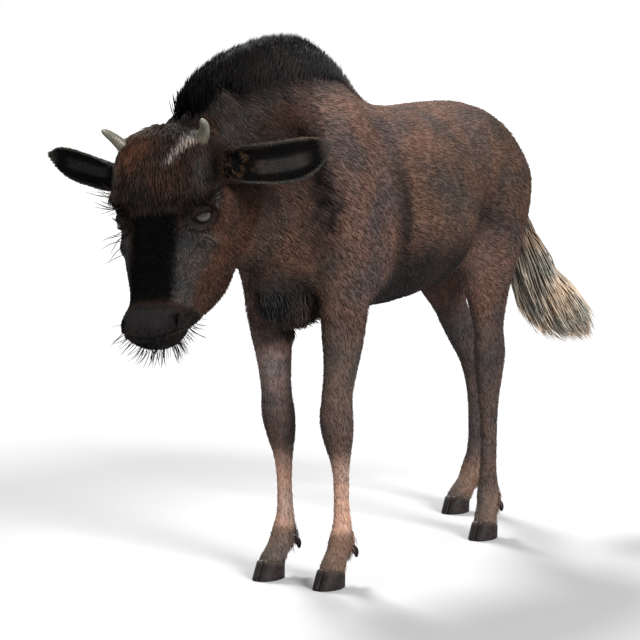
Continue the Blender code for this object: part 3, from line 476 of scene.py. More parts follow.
def points_of(made, field="co"):
    """The corner points of a mesh, or their normals, as one array."""
    found = np.empty(len(made.data.vertices) * 3)
    made.data.vertices.foreach_get(field, found)
    return found.reshape(-1, 3)


def set_points(made, points):
    made.data.vertices.foreach_set("co", points.ravel())
    made.data.update()


def in_head(points, turn_only=False):
    """Places, or directions, as the head's own axes see them."""
    place = np.array(HEAD_PLACE)
    moved = points if turn_only else points - place[:3, 3]
    return moved @ place[:3, :3]


def out_of_head(points, turn_only=False):
    place = np.array(HEAD_PLACE)
    turned = points @ place[:3, :3].T
    return turned if turn_only else turned + place[:3, 3]


print("the head's own origin lies at", out_of_head(np.zeros((1, 3)))[0].round(3))

# %% [markdown]
# Every soft change of form or colour is a mask between 0 and 1: a bell is a hill round a point,
# a ridge a hill along a line, and a ramp a smooth step.

# %% Gaps and masks
def folded_over(at):
    """Places folded over to the left side, because most of the animal is alike on both."""
    return np.abs(at * (1, 0, 0)) + at * (0, 1, 1)


def gap_to(at, place):
    """The distance of every row from one place."""
    return np.linalg.norm(at - np.array(place), axis=1)


def unit(ways, least=1e-6):
    """Directions made one long, unless they are almost nothing."""
    return ways / np.maximum(np.linalg.norm(ways, axis=1), least)[:, None]


def bell(points, at, reach):
    """A soft hill round a point: 1 there and almost 0 beyond twice its reach."""
    return np.exp(-((((points - np.array(at)) / np.array(reach)) ** 2).sum(axis=1)))


def ridge(values, middle, width):
    """A soft ridge: 1 where the values are at its middle."""
    return np.exp(-(((values - middle) / width) ** 2))


def ramp(start, end, values):
    """A smooth step from 0 to 1, and from 1 to 0 if its end lies before its start."""
    share = np.clip((values - start) / (end - start), 0, 1)
    return share * share * (3 - 2 * share)


def crest_middle(y):
    """The x of the neck's middle, because the neck bends towards the lowered head."""
    return -0.024 * np.clip(1 - (y + 0.64) * 4.5, 0, 1)


# %% [markdown]
# The lofts of trunk, crest, shoulders, legs, tail and head overlap. A voxel remesh melts them into
# one skin with no seam.

# %% One skin
# The soft core of the beard between the forelegs: front and back here are its top and bottom.
BRISKET = [
    ring((-0.452, 0.545), (-0.452, 0.505), 0.012),
    ring((-0.430, 0.545), (-0.432, 0.470), 0.024),
    ring((-0.390, 0.540), (-0.390, 0.448), 0.031),
    ring((-0.340, 0.530), (-0.338, 0.440), 0.033),
    ring((-0.290, 0.520), (-0.286, 0.446), 0.030),
    ring((-0.250, 0.510), (-0.245, 0.462), 0.022),
    ring((-0.228, 0.500), (-0.226, 0.480), 0.010),
]
VOXEL = 0.006

shoulder = loft("shoulder", SHOULDER)
pieces = [loft("trunk", TRUNK, around=40), loft("crest", CREST), shoulder]
pieces += [mirrored(shoulder, "other_shoulder"), tube("dock", DOCK, around=16)]
pieces += [limb(name, sizes, path) for name, (sizes, path) in LEGS.items()]
pieces += [loft("brisket", BRISKET)]
head_loft = loft("head_loft", HEAD, around=36)
head_loft.data.transform(HEAD_PLACE)
skin = join("skin", [*pieces, head_loft])
grain = skin.modifiers.new("grain", "REMESH")
grain.mode = "VOXEL"
grain.voxel_size = VOXEL
settle(skin)
print("joined", len(skin.data.polygons), "faces")

# %% [markdown]
# The grid's steps are smoothed away, more on the trunk, where the muscles run softly into each
# other, than on the head and legs. Soft pushes then give the hollows and bones that rings can't.

# %% Smoothing and pushes
FIRST_TURNS = 4
ALL_TURNS = 42


def smooth_points(made, weights):
    """Moves each point towards the mean of its neighbours, once for each array of weights."""
    points = points_of(made)
    edges = np.empty(len(made.data.edges) * 2, int)
    made.data.edges.foreach_get("vertices", edges)
    edges = edges.reshape(-1, 2)
    count = len(points)
    degree = np.bincount(edges.ravel(), minlength=count)[:, None]
    for weight in weights:
        total = np.empty_like(points)
        for axis in range(3):
            total[:, axis] = np.bincount(edges[:, 0], points[edges[:, 1], axis], count)
            total[:, axis] += np.bincount(edges[:, 1], points[edges[:, 0], axis], count)
        points += (total / degree - points) * weight[:, None]
    set_points(made, points)


def push(points, pushes):
    """Moves the points by soft pushes, each on the left side and on the right."""
    for at, reach, way in pushes:
        for side in (1, -1):
            flip = np.array((side, 1, 1))
            points += bell(points, at * flip, reach)[:, None] * (way * flip)
    return points


points = points_of(skin)
trunk = np.clip((points[:, 2] - 0.46) / 0.05, 0, 1) * np.clip((points[:, 1] + 0.62) / 0.1, 0, 1)
trunk[(np.abs(points[:, 0] + 0.01) < 0.04) & (points[:, 2] > 0.8)] = 0
even = np.full(len(points), 0.5)
smooth_points(skin, [even] * FIRST_TURNS + [trunk * 0.5] * (ALL_TURNS - FIRST_TURNS))
points = push(points_of(skin), BODY_PUSHES)
points = out_of_head(push(in_head(points), HEAD_PUSHES))
set_points(skin, points)
print("skin faces", len(skin.data.polygons))

# %% [markdown]
# The face needs a finer net than the flanks. Its faces are cut into four, and those round the
# muzzle and the eyes twice more, and a little smoothing takes out the corners of the old net.

# %% A finer face
EYE_PLACE = np.array(EYE_AT)
EYE_SURFACE = np.array(EYE_AT + EYE_AXIS * EYE_RADIUS)
NOSTRIL = (0.0475, -0.0095, -0.284)
MOUTH_TURN = 2.1  # radians from the middle of the muzzle to a corner of the mouth


def refine(chosen, turns):
    """Cuts the faces that are chosen by their middles, in the head's axes, into four."""
    middles = np.empty(len(skin.data.polygons) * 3)
    skin.data.polygons.foreach_get("center", middles)
    wanted = np.nonzero(chosen(in_head(middles.reshape(-1, 3))))[0]
    mesh = bmesh.new()
    mesh.from_mesh(skin.data)
    mesh.faces.ensure_lookup_table()
    edges = {edge for i in wanted for edge in mesh.faces[i].edges}
    bmesh.ops.subdivide_edges(mesh, edges=list(edges), cuts=1, use_grid_fill=True)
    mesh.to_mesh(skin.data)
    mesh.free()
    near = chosen(in_head(points_of(skin)))
    smooth_points(skin, [near * 0.5] * turns)
    print("faces", len(skin.data.polygons))


def mouth_height(at):
    """How far a point of the muzzle is above the line between the lips, and its turn round it."""
    turn = np.arctan2(at[:, 0], 0.036 - at[:, 1])
    rise = 0.033 * (1 - np.cos(turn)) ** 1.2
    return at[:, 2] - (-0.312 + 1.15 * rise), np.abs(turn)


def is_face(at):
    x, y, z = at.T
    return (y < 0.10) & (z > -0.34) & (z < 0.03) & (np.abs(x) < 0.12)


def is_fine(at):
    muzzle = (at[:, 2] < -0.245) & (at[:, 1] < 0.075)
    eyes = gap_to(folded_over(at), EYE_SURFACE) < 0.034
    return is_face(at) & (muzzle | eyes)


def is_finest(at):
    above, turn = mouth_height(at)
    lips = (np.abs(above) < 0.006) & (turn < MOUTH_TURN) & (at[:, 2] > -0.33) & (at[:, 2] < -0.2)
    holes = gap_to(folded_over(at), NOSTRIL) < 0.019
    return is_fine(at) & (lips | holes)


refine(is_face, 3)
refine(is_fine, 3)
refine(is_finest, 2)

# %% [markdown]
# The CAD solids reach to the coat's outer surface. The bare skin lies deeper by the hair's depth:
# a few millimetres on the body, the most under the mane and the forehead's shaggy cap, almost
# none on the muzzle.

# %% Skin under the coat
BODY_DEPTH = 0.0040
LEG_DEPTH = 0.0018
FACE_DEPTH = 0.0020
CAP_DEPTH = 0.0055
MUZZLE_DEPTH = 0.0004
MANE_DEPTH = 0.0070
# The plane that parts head from neck goes through a point and is square to a way.
NAPE_AT = (0, 0.146, -0.055)
NAPE_WAY = (0, 0.94, 0.34)

points = points_of(skin)
normals = points_of(skin, "normal")
x, y, z = points.T
local = in_head(points)
hx, hy, hz = local.T
is_head = ramp(0.02, -0.02, (local - NAPE_AT) @ NAPE_WAY) * (y < -0.5)
cap = ramp(-0.118, -0.098, hz) * ramp(0.055, 0.025, hy)
cap *= ramp(0.075, 0.055, np.abs(hx)) * ramp(0.05, 0.03, hz)
on_crest = ramp(0.030, 0.012, np.abs(x - crest_middle(y))) * ramp(0.2, 0.6, normals[:, 2])
on_crest *= ramp(-0.12, -0.18, y) * ramp(0.76, 0.79, z)
depth = np.full(len(points), BODY_DEPTH)
for other, share in (
    (LEG_DEPTH, ramp(0.46, 0.40, z)),
    (FACE_DEPTH, is_head * ramp(0.14, 0.05, hy)),
    (CAP_DEPTH, is_head * cap),
    (MUZZLE_DEPTH, is_head * ramp(-0.250, -0.268, hz)),
    (MANE_DEPTH, on_crest),
):
    depth += (other - depth) * share
points -= normals * depth[:, None]
set_points(skin, points)
print("coat depth, least and most", depth.min(), depth.max())

# %% [markdown]
# ### Lips and nostrils
# The mouth is a fine groove between two soft rolls, and each nostril a comma-shaped hollow under
# a raised wing. Both are moves of the finer net's points along their normals.

# %% Lips and nostrils
LIP_GROOVE = 0.0024
LIP_ROLL = 0.0011
NOSTRIL_LONG = np.array((-0.20, 0.34, 0.92)) / np.linalg.norm((-0.20, 0.34, 0.92))
NOSTRIL_WIDE = np.cross(NOSTRIL_LONG, (0.75, -0.60, 0.20))
NOSTRIL_HALF = 0.0140
NOSTRIL_WIDTH = 0.0030
NOSTRIL_DEPTH = 0.0075
WING_HEIGHT = 0.0012

local = in_head(points)
normals = in_head(points_of(skin, "normal"), turn_only=True)
above, turn = mouth_height(local)
line = ramp(1.98, 1.86, turn) * (local[:, 2] < -0.2) * is_head
groove = LIP_GROOVE * ridge(above, 0, 0.0012)
rolls = LIP_ROLL * (ridge(above, 0.0042, 0.0022) + ridge(above, -0.0042, 0.0026))
local -= normals * (line * (groove - rolls))[:, None]

from_hole = folded_over(local) - np.array(NOSTRIL)
near_hole = np.linalg.norm(from_hole, axis=1) < 0.018
slit_long = from_hole @ NOSTRIL_LONG
curve = from_hole @ NOSTRIL_WIDE - 0.010 * (slit_long / NOSTRIL_HALF) ** 2 + 0.003
width = NOSTRIL_WIDTH * np.clip(1 - (slit_long / 0.0135) ** 2, 0.02, 1)
hole = ridge(curve, 0, width) * (np.abs(slit_long) < NOSTRIL_HALF) * near_hole
wing = ridge(curve, -0.0055, 0.0030) * ramp(0.016, 0.008, np.abs(slit_long)) * near_hole
move = NOSTRIL_DEPTH * hole * np.clip(width / NOSTRIL_WIDTH, 0, 1) - WING_HEIGHT * wing
local -= normals * (move * is_head)[:, None]
set_points(skin, out_of_head(local))
print("nostrils sunk by", move.max(), "and their wings raised by", -move.min())

# %% [markdown]
# ### Ears
# An ear is a thin leaf rolled into a cup that opens forwards. The two are held a little
# differently, so each has its own tip and opening.

# %% The ears' shape
EAR_ROOT = Vector((0.086, 0.062, -0.030))
EAR_TIPS = {"left": Vector((0.2505, 0.092, 0.002)), "right": Vector((-0.247, 0.088, 0.033))}
EAR_OPENINGS = {"left": Vector((0, -1, -0.12)), "right": Vector((0, -1, -0.70))}
EAR_SAGS = {"left": 0.011, "right": 0.004}
EAR_HEIGHTS = {"left": 1.0, "right": 0.80}
# Along the ear: half its height, the depth of the cup, how far the crescent's arms close in.
EAR_SHAPE = [
    (-0.10, 0.022, 0.017, 1.9), (0.04, 0.025, 0.019, 1.9), (0.16, 0.029, 0.021, 1.75),
    (0.32, 0.0325, 0.020, 1.5), (0.50, 0.0345, 0.017, 1.3), (0.68, 0.0340, 0.013, 1.2),
    (0.84, 0.0265, 0.009, 1.1), (0.94, 0.0135, 0.005, 1.0), (0.99, 0.0040, 0.002, 1.0),
]
EAR_RIDGES = 0.0006


def ear_axes(side):
    """An ear's root, axis, length, and the ways its cup opens and stands."""
    tip = EAR_TIPS[side]
    root = Vector((math.copysign(EAR_ROOT.x, tip.x), EAR_ROOT.y, EAR_ROOT.z))
    axis = (tip - root).normalized()
    opening = EAR_OPENINGS[side]
    opening = (opening - axis * opening.dot(axis)).normalized()
    tall = axis.cross(opening).normalized()
    return root, axis, (tip - root).length, opening, tall if tall.z > 0 else -tall


print("the left ear is", round(ear_axes("left")[2], 3), "long")

# %% [markdown]
# The leaf is thinner than the skin's net is fine, so it is lofted on its own, with ridges of
# gristle inside, and a boolean unites it with the skin.

# %% Ears
def make_ear(side, steps=5, across=17):
    """A leaf-shaped cup: crescents across an axis from the root to the tip, opening forwards."""
    root, axis, length, opening, tall = ear_axes(side)
    loops = []
    for share, half, deep, arms in flow(EAR_SHAPE, steps):
        sag = EAR_SAGS[side] * math.sin(math.pi * max(share, 0) ** 1.5)
        middle = root + axis * share * length - tall * sag
        half *= EAR_HEIGHTS[side]
        wall = min(0.0020, half * 0.35)
        outer, inner = [], []
        for k in range(across):
            part = 2 * k / (across - 1) - 1
            turn = arms * part
            reach = tall * math.sin(turn) / math.sin(min(arms, math.pi / 2))
            dip = opening * (1 - math.cos(turn)) - opening * 0.4
            ridge = EAR_RIDGES * math.sin(part * 13) * max(0, 1 - part * part)
            outer.append(middle + reach * half + dip * deep)
            inner.append(
                middle + reach * (half - wall) + dip * (deep - wall) + opening * (wall + ridge)
            )
        if share < 0.08:
            inner = [point + opening * 0.004 for point in inner]
        loops.append(outer + inner[::-1])
    made = skinned("ear_" + side, loops)
    made.data.transform(HEAD_PLACE)
    return made


# The collection holds both ears, so that one boolean modifier unites them with the skin.
tools = bpy.data.collections.new("tools")
scene.collection.children.link(tools)
for side in EAR_TIPS:
    ear = make_ear(side)
    scene.collection.objects.unlink(ear)
    tools.objects.link(ear)
union = skin.modifiers.new("ears", "BOOLEAN")
union.operation = "UNION"
union.solver = "MANIFOLD"
union.operand_type = "COLLECTION"
union.collection = tools
settle(skin)
for ear in list(tools.objects):
    bpy.data.objects.remove(ear)
bpy.data.collections.remove(tools)
print("with the ears", len(skin.data.polygons), "faces")

# %% [markdown]
# ### Eyelids
# A lid is a fold of bare skin that rolls over the ball and runs out into the face. Each ring of
# the lids starts as an almond on the ball and widens to an oval on the skin, so that one band of
# quads makes both lids with their hood, crease and edge.

# %% Eyelids
# Each oval is half its length, and its height above and below the eye's long axis.
LID_INNER = (0.0142, 0.0036, 0.0096)
LID_OUTER = (0.0240, 0.0190, 0.0165)
LID_POINT = 0.75  # how pointed the corners of the inner oval are
LID_ROWS = 22
LID_AROUND = 96
RAY_START = 0.06
skin_tree = BVHTree.FromObject(skin, bpy.context.evaluated_depsgraph_get())


def skin_height(place):
    """How far the skin stands out along the eye's axis, at a place of the plane behind it."""
    start = HEAD_PLACE @ (place + EYE_AXIS * RAY_START)
    hit = skin_tree.ray_cast(start, HEAD_PLACE.to_3x3() @ -EYE_AXIS)
    return RAY_START - hit[3] if hit[0] else 0.0


def ball_height(place, extra):
    """How far a ball stands out there, if it is larger than the eye by something extra."""
    return math.sqrt(max(0, (EYE_RADIUS + extra) ** 2 - place.length_squared))


def lid_oval(turn, sizes, point=0.0):
    """A place on an almond or oval round the eye."""
    long, above, below = sizes
    along, high = math.cos(turn), math.sin(turn)
    high *= (above if high > 0 else below) * (1 - point * along**4) ** 0.5
    return EYE_LONG * along * long + EYE_TALL * high


def lid_height(place, share, upper):
    """How far a lid stands out: from the ball to the skin, with its folds."""
    height = ball_height(place, 0.0018)
    height += (skin_height(EYE_AT + place) - 0.0003 - height) * ramp(0, 1, share)
    hood = 0.0022 * ridge(share, 0.42, 0.20) * upper**0.7
    crease = 0.0013 * ridge(share, 0.62, 0.045) * upper**0.7
    lower = 0.0007 * ridge(share, 0.45, 0.07) * (upper == 0)
    edge = 0.0005 * ridge(share, 0.08, 0.06)
    return height + hood - crease - lower + edge


print("the skin stands", round(skin_height(EYE_AT), 4), "out at the eye")

# %% [markdown]
# All the rows of both lids are made turn by turn, then joined to one closed band.

# %% The left eye's lids
def make_lids():
    """Both lids of the left eye. Their first two rows lie on the ball, inside the lids' edge."""
    loops = [[] for _ in range(LID_ROWS)]
    for k in range(LID_AROUND):
        turn = 2 * math.pi * k / LID_AROUND
        inner, outer = lid_oval(turn, LID_INNER, LID_POINT), lid_oval(turn, LID_OUTER)
        for row in range(LID_ROWS):
            share = max(0, row - 2) / (LID_ROWS - 3)
            place = inner.lerp(outer, share if row else 0.05)
            if row < 2:
                height = ball_height(place, (-0.0025, 0.0004)[row])
            else:
                height = lid_height(place, share, max(0, math.sin(turn)))
            loops[row].append(EYE_AT + place + EYE_AXIS * height)
    # A last row turns in under the skin, so that the ring has an edge out of sight.
    under = [[point - EYE_AXIS * 0.004 for point in loop] for loop in (loops[0], loops[-1])]
    mesh = bmesh.new()
    rows = [[mesh.verts.new(point) for point in loop] for loop in (under[0], *loops, under[1])]
    for one, two in zip(rows, rows[1:] + rows[:1]):
        for k in range(LID_AROUND):
            mesh.faces.new((one[k], one[(k + 1) % LID_AROUND], two[(k + 1) % LID_AROUND], two[k]))
    return as_object("lids_left", mesh)


lids = make_lids()
right_lids = mirrored(lids, "lids_right")
print("lid faces", len(lids.data.polygons))

# %% [markdown]
# The skin runs on under the lids. There it sinks out of sight behind the ball, and it does so on
# both sides at once, because places are compared as if folded over to the left.

# %% The skin behind the eyes
SINK_DEPTH = 0.014


def across_eye(at):
    """Places round the eye, as how far along its long way they are and how far along its tall."""
    return at @ np.array(EYE_LONG), at @ np.array(EYE_TALL)


points = in_head(points_of(skin))
from_ball = folded_over(points) - EYE_PLACE
long, tall = across_eye(from_ball)
from_eye = np.hypot(long / LID_OUTER[0], tall / np.where(tall > 0, LID_OUTER[1], LID_OUTER[2]))
in_front = (from_ball @ np.array(EYE_AXIS) > -0.004) & (np.linalg.norm(from_ball, axis=1) < 0.04)
sink = SINK_DEPTH * ramp(0.92, 0.62, from_eye) * in_front
side = np.where(points[:, 0] > 0, 1.0, -1.0)
inwards = np.column_stack((side, np.ones((len(side), 2)))) * np.array(EYE_AXIS)
points -= inwards * sink[:, None]
set_points(skin, out_of_head(points))
print("skin sunk by", sink.max())

# %% [markdown]
# ## The coat's fields
# Before any hair is set, the skin is told what grows where. Each point carries the colour of its
# coat, the way the hair lies, and its width, length and lift. The tufts read these at their roots,
# and the skin's own material reads the same colours, so that skin and coat agree everywhere.

# %% Where a point is
points = points_of(skin)
normals = points_of(skin, "normal")
local = in_head(points)
local_normals = in_head(normals, turn_only=True)
folded = folded_over(local)
x, y, z = points.T
hx, hy, hz = local.T


def along_path(places, path):
    """For each place: its share along a path, its distance, the path's way, and its point."""
    rows = flow(path, 6)
    gaps = np.linalg.norm(places[:, None] - rows[None, :, :3], axis=2)
    nearest = gaps.argmin(axis=1)
    way = unit(np.gradient(rows[:, :3], axis=0))
    return nearest / (len(rows) - 1), gaps.min(axis=1), way[nearest], rows[nearest, :3]


def on_ear(side):
    """The share along an ear, the height across it, where it is, where its cup is, its axis."""
    root, axis, length, opening, tall = (np.array(part) for part in ear_axes(side))
    share = (local - root) @ axis / length
    shape = flow(EAR_SHAPE, 4)
    half = np.interp(share, shape[:, 0], shape[:, 1]) * EAR_HEIGHTS[side]
    sag = EAR_SAGS[side] * np.sin(math.pi * np.clip(share, 0, 1) ** 1.5)
    offset = local - root - axis * (share * length)[:, None] + tall * sag[:, None]
    rise = offset @ tall / np.maximum(half, 0.004)
    near = (np.abs(rise) < 1.25) & (np.abs(offset @ opening) < 0.034) & (share > 0.10)
    inside = ramp(0.1, 0.5, local_normals @ opening) * (np.abs(rise) < 0.97)
    return share, rise, near & (share < 1.1), inside, axis


ear_fields = {side: on_ear(side) for side in EAR_TIPS}
print("points of the skin", len(points))

# %% [markdown]
# Planes and boxes share out the skin among the parts of the body, so that the coat of each part
# can be a piece of its own.

# %% The parts of the body
# The plane that parts neck from shoulder, through a point and square to a way.
NECK_AT = (0, -0.400, 0.715)
NECK_WAY = (0, 0.95, -0.30)

is_ear = ear_fields["left"][2] | ear_fields["right"][2]
is_head = ((local - NAPE_AT) @ NAPE_WAY < 0) & (y < -0.5) & ~is_ear
tail_share, tail_gap, tail_way, tail_middle = along_path(points, DOCK)
is_tail = (tail_gap < 0.036) & (tail_share > 0.30) & (y > 0.455)
is_fore = (z < 0.455) & (y < -0.10)
is_hind = (z < 0.462) & (y > 0.05) & ~is_tail
before_neck = (points - NECK_AT) @ NECK_WAY < 0
is_neck = before_neck & ~is_head & ~is_ear & ~is_fore
is_shoulder = ~before_neck & ~is_fore & (y < -0.13)
is_rump = (y > 0.150) & ~is_tail & ~is_hind
is_barrel = ~(is_neck | is_shoulder | is_rump | is_head | is_ear | is_tail | is_fore | is_hind)
print("points of head, neck, barrel", is_head.sum(), is_neck.sum(), is_barrel.sum())

leg_middle = np.zeros((len(points), 2))
for name, (sizes, path) in LEGS.items():
    mine = ((y < 0) == name.startswith("fore")) & ((x > 0) == name.endswith("left"))
    heights = [-row[0] for row in sizes]
    for axis in range(2):
        leg_middle[mine, axis] = np.interp(-z[mine], heights, [at[axis] for at in path])

# %% [markdown]
# ### The lie of the coat
# Hair lies back along the trunk and down the legs. On the face it runs down and back from the
# poll, and it parts round the eye. Each field starts as one value for the whole animal, and other
# values are then laid over it, each by a soft mask. At the end every direction is turned into the
# skin's own surface.

# %% The lie of the coat
def rows_of(*values):
    """A row of values for each point of the skin. A value is a field, or one number for all."""
    return np.column_stack([np.broadcast_to(value, len(points)) for value in values])


def lay(field, *layers):
    """Moves each row of a field towards the value of each layer in turn, by the layer's share."""
    for value, share in layers:
        field += (np.asarray(value, float) - field) * share[:, None]


def in_surface(ways, least=1e-6):
    """Directions laid into the surface of the skin, one long unless they were almost nothing."""
    return unit(ways - normals * (ways * normals).sum(axis=1)[:, None], least)


lie = rows_of(0.0, 1.0, -0.34)
lay(
    lie,
    ((0, 0.80, -0.62), ramp(-0.36, -0.46, y)),  # neck
    ((0, 0.72, -0.70), ramp(-0.14, -0.24, y) * ramp(0.80, 0.62, z) * ramp(-0.46, -0.36, y)),
    ((0, 0.50, -0.85), ramp(0.20, 0.32, y) * ramp(0.74, 0.60, z)),  # thigh
    ((0, 0.30, -1.0), ramp(0.38, 0.44, y)),  # back of the rump
    ((0, 0.30, 0.0), ramp(0.50, 0.47, z) * ramp(0.12, 0.05, np.abs(x)) * (np.abs(y) < 0.2)),
    ((0, 0.15, -1.0), ramp(0.50, 0.40, z) * (is_fore | is_hind)),
)

away = folded - EYE_SURFACE
eye_gap = np.linalg.norm(away, axis=1)
round_eye = ridge(eye_gap, 0, 0.036) * ramp(0.02, -0.01, away[:, 2])
away[:, 0] *= np.where(hx > 0, 1, -1)
fan = rows_of(hx * 5, 0.02, -1.0)
face_lie = rows_of(0.0, 0.62, -0.80)
lay(
    face_lie,
    ((0, 0.05, -1.0), ramp(0.030, 0.0, hy) * ramp(-0.10, -0.14, hz)),  # bridge of the nose
    (fan, ramp(0.05, 0.02, hy) * ramp(-0.13, -0.10, hz)),  # forehead
    ((0, 1.0, -0.25), ramp(0.09, 0.13, hy)),  # jaw
    (away / 0.02, round_eye),
)
headward = is_head | is_ear
lie[headward] = out_of_head(face_lie, turn_only=True)[headward]
for share, rise, near, inside, axis in ear_fields.values():
    lie[near] = out_of_head(axis[None], turn_only=True)[0]
lie[is_tail] = tail_way[is_tail]
lie = in_surface(lie)
print("mean lie", lie.mean(axis=0).round(2))

# %% [markdown]
# ### Tuft sizes
# Width, length and lift of a tuft, by place: the smallest on muzzle and feet, short and flat on the
# body, longer and more raised round the eye and behind the fetlocks.

# %% Tuft sizes
cap_edge = 0.004 * np.sin(hx * 150) + 0.004 * np.sin(hx * 390 + 1) + 0.003 * np.sin(hx * 930)
cap_front = hy + 0.012 * ramp(0.050, 0.070, np.abs(hx)) - 1.2 * np.maximum(hz, 0)
is_cap = is_head * ramp(-0.112, -0.100, hz + cap_edge) * ramp(0.016, 0.008, cap_front)
is_cap *= ramp(0.084, 0.077, np.abs(hx))
behind_fetlock = ramp(0.105, 0.080, z) * ramp(0.045, 0.058, z)
behind_fetlock *= ramp(0.0, 0.010, y - leg_middle[:, 1])
fur = rows_of(0.0018, 0.0140, 0.050)
lay(
    fur,
    ((0.0017, 0.0155, 0.060), is_neck),
    ((0.0014, 0.0085, 0.07), ramp(0.47, 0.38, z)),
    ((0.0013, 0.0065, 0.12), ramp(0.10, 0.05, z)),
    ((0.0012, 0.0090, 0.08), is_head),
    ((0.0010, 0.0055, 0.10), is_head * ramp(-0.20, -0.26, hz)),
    ((0.0017, 0.0150, 0.12), is_head * ramp(0.06, 0.12, hy)),
    ((0.0012, 0.0110, 0.15), is_head * round_eye),
    ((0.0012, 0.0060, 0.12), is_ear),
    ((0.0030, 0.0300, 0.30), is_tail),
    ((0.0016, 0.0200, 0.30), behind_fetlock),
    ((0.0014, 0.0100, 0.16), ramp(0.040, 0.032, z)),
)
print("tufts from", fur[:, 1].min(), "to", fur[:, 1].max(), "long")

# %% [markdown]
# ### Cover
# The cover tells how closely the tufts stand. There are none on the nose pad, on the lids, in the
# nostrils, under the horns and on the soles, and few on the lips and deep in the ears.

# %% Cover
HORN_AT = (0.066, 0.012, 0.003)

pad = is_head * ramp(-0.256, -0.268, hz) * ramp(0.002, -0.008, hy) * ramp(0.046, 0.034, np.abs(hx))
pad *= ramp(-0.304, -0.294, hz)
above, turn = mouth_height(local)
lip = is_head * ridge(above, 0, 0.004) * (turn < 2.0)
from_nostril = (folded - np.array(NOSTRIL)) * (1, 1, 0.7)
hole = is_head * ridge(np.linalg.norm(from_nostril, axis=1), 0, 0.010)
long, tall = across_eye(folded - EYE_PLACE)
lid_gap = np.hypot(long / LID_OUTER[0], tall / LID_OUTER[2])
near_eye = is_head * (eye_gap < 0.035)
in_eye = near_eye * ramp(1.18, 1.08, lid_gap)
in_cup = np.zeros(len(points))
rim = np.zeros(len(points))
for share, rise, near, inside, axis in ear_fields.values():
    deep = ramp(0.46, 0.26, np.abs(rise + 0.06)) * ramp(0.20, 0.32, share) * ramp(0.86, 0.72, share)
    in_cup = np.maximum(in_cup, near * inside * deep)
    edge = np.maximum(ramp(0.80, 0.95, np.abs(rise)), ramp(0.86, 0.96, share))
    rim = np.maximum(rim, near * edge)
cover = np.ones(len(points))
cover *= (1 - pad) * (1 - in_eye) * (1 - np.clip(hole * 1.4, 0, 1)) * (1 - 0.8 * lip)
cover *= 1 - 0.85 * in_cup
cover *= ramp(0.008, 0.012, gap_to(folded, HORN_AT))
cover *= ramp(0.017, 0.021, z)
print("bare share of the skin", round(float((cover < 0.1).mean()), 3))

# %% [markdown]
# ### Colours
# The coat's colours run softly into each other, so each is laid over the last by a soft mask:
# grey-brown over the back with painted top light, painted shade behind the shoulder, in the flank
# and under the belly, painted grey sheen on neck and face, paler on the cannons, black on mane,
# ears and blaze. The numbers are linear, as the shader takes them.

# %% The coat's palette
BLACK = (0.0013, 0.0012, 0.0012)
BARREL = (0.0676, 0.0438, 0.0333)
# Painted top light: the barrel's colour made lighter where light falls from above, and the painted
# sheen on the withers.
BACK_PAINTED_LIGHT = (0.1007, 0.0674, 0.0543)
# Painted shade: the underside of the barrel darkened as if in shadow.
BELLY_PAINTED_SHADE = (0.0162, 0.0125, 0.0114)
# Painted shade in the hollow of the flank.
FLANK_PAINTED_SHADE = (0.0090, 0.0071, 0.0067)
RUMP = (0.0640, 0.0404, 0.0296)
REAR = (0.0490, 0.0298, 0.0212)
SHOULDER_RED = (0.0722, 0.0479, 0.0399)
# Painted shade for the hollows behind the shoulder and where neck meets shoulder.
HOLLOW_PAINTED_SHADE = (0.0013, 0.0009, 0.0007)
# Painted grey sheen on the top of the neck, behind the horns and at the back of the head.
NECK_PAINTED_SHEEN = (0.0300, 0.0268, 0.0258)
NECK_BROWN = (0.0318, 0.0191, 0.0141)
# The beard's dark hair, greyed by painted sheen.
BEARD_DARK_AND_SHEEN = (0.0190, 0.0160, 0.0145)
NECK_LOW = (0.0630, 0.0404, 0.0312)
THIGH = (0.0736, 0.0474, 0.0389)
SHANK = (0.0451, 0.0350, 0.0309)
FOREARM = (0.0574, 0.0452, 0.0391)
# Painted highlight on the right foreleg.
FORE_RIGHT_PAINTED_HIGHLIGHT = (0.1346, 0.0961, 0.0818)
KNEE = (0.0585, 0.0446, 0.0395)
CANNON = (0.2810, 0.1932, 0.1522)
PASTERN = (0.1026, 0.0728, 0.0561)
CHEEK = (0.0540, 0.0290, 0.0200)
# Painted grey sheen on the side of the face beside the blaze.
CHEEK_PAINTED_SHEEN = (0.0420, 0.0388, 0.0365)
RUST = (0.0450, 0.0210, 0.0120)
FOREHEAD = (0.0205, 0.0148, 0.0118)
MUZZLE = (0.0135, 0.0108, 0.0104)
PAD = (0.0115, 0.0100, 0.0104)
NAPE = (0.0120, 0.0104, 0.0096)
# A sooty black for mane and neck, used also as the painted shade behind the jaw.
SOOT_BLACK_AND_SHADE = (0.0130, 0.0118, 0.0112)
# A smoky grey, used also as painted sheen on the cheek bone and on the mane towards the withers.
SMOKY_GREY_AND_SHEEN = (0.0494, 0.0456, 0.0437)
LID_HUE = (0.0080, 0.0056, 0.0048)
# A frosty pale grey; under the eye it is painted sheen.
FROST_AND_SHEEN = (0.1080, 0.0994, 0.0864)
CUP = (0.0210, 0.0185, 0.0170)
EAR = (0.0022, 0.0020, 0.0020)
GOLD = (0.0750, 0.0440, 0.0220)
STREAK = (0.4900, 0.4300, 0.3800)
TAIL_ROOT = (0.0600, 0.0430, 0.0310)
print("grey of the back", BACK_PAINTED_LIGHT, "and black", BLACK)

# %% [markdown]
# The body is laid first: the back's painted top light over barrel, then rump, the belly's painted
# shade, painted shade in the flank's hollow, and shoulder, with painted sheen on the withers and
# painted shade in the hollow behind the shoulder. The neck comes over those, from brown below to a
# painted grey sheen above, with painted shade behind the jaw and a mottled painted shade in the
# hollow where it meets the shoulder. The legs are last, palest on the cannons, with a painted
# highlight on the right foreleg.

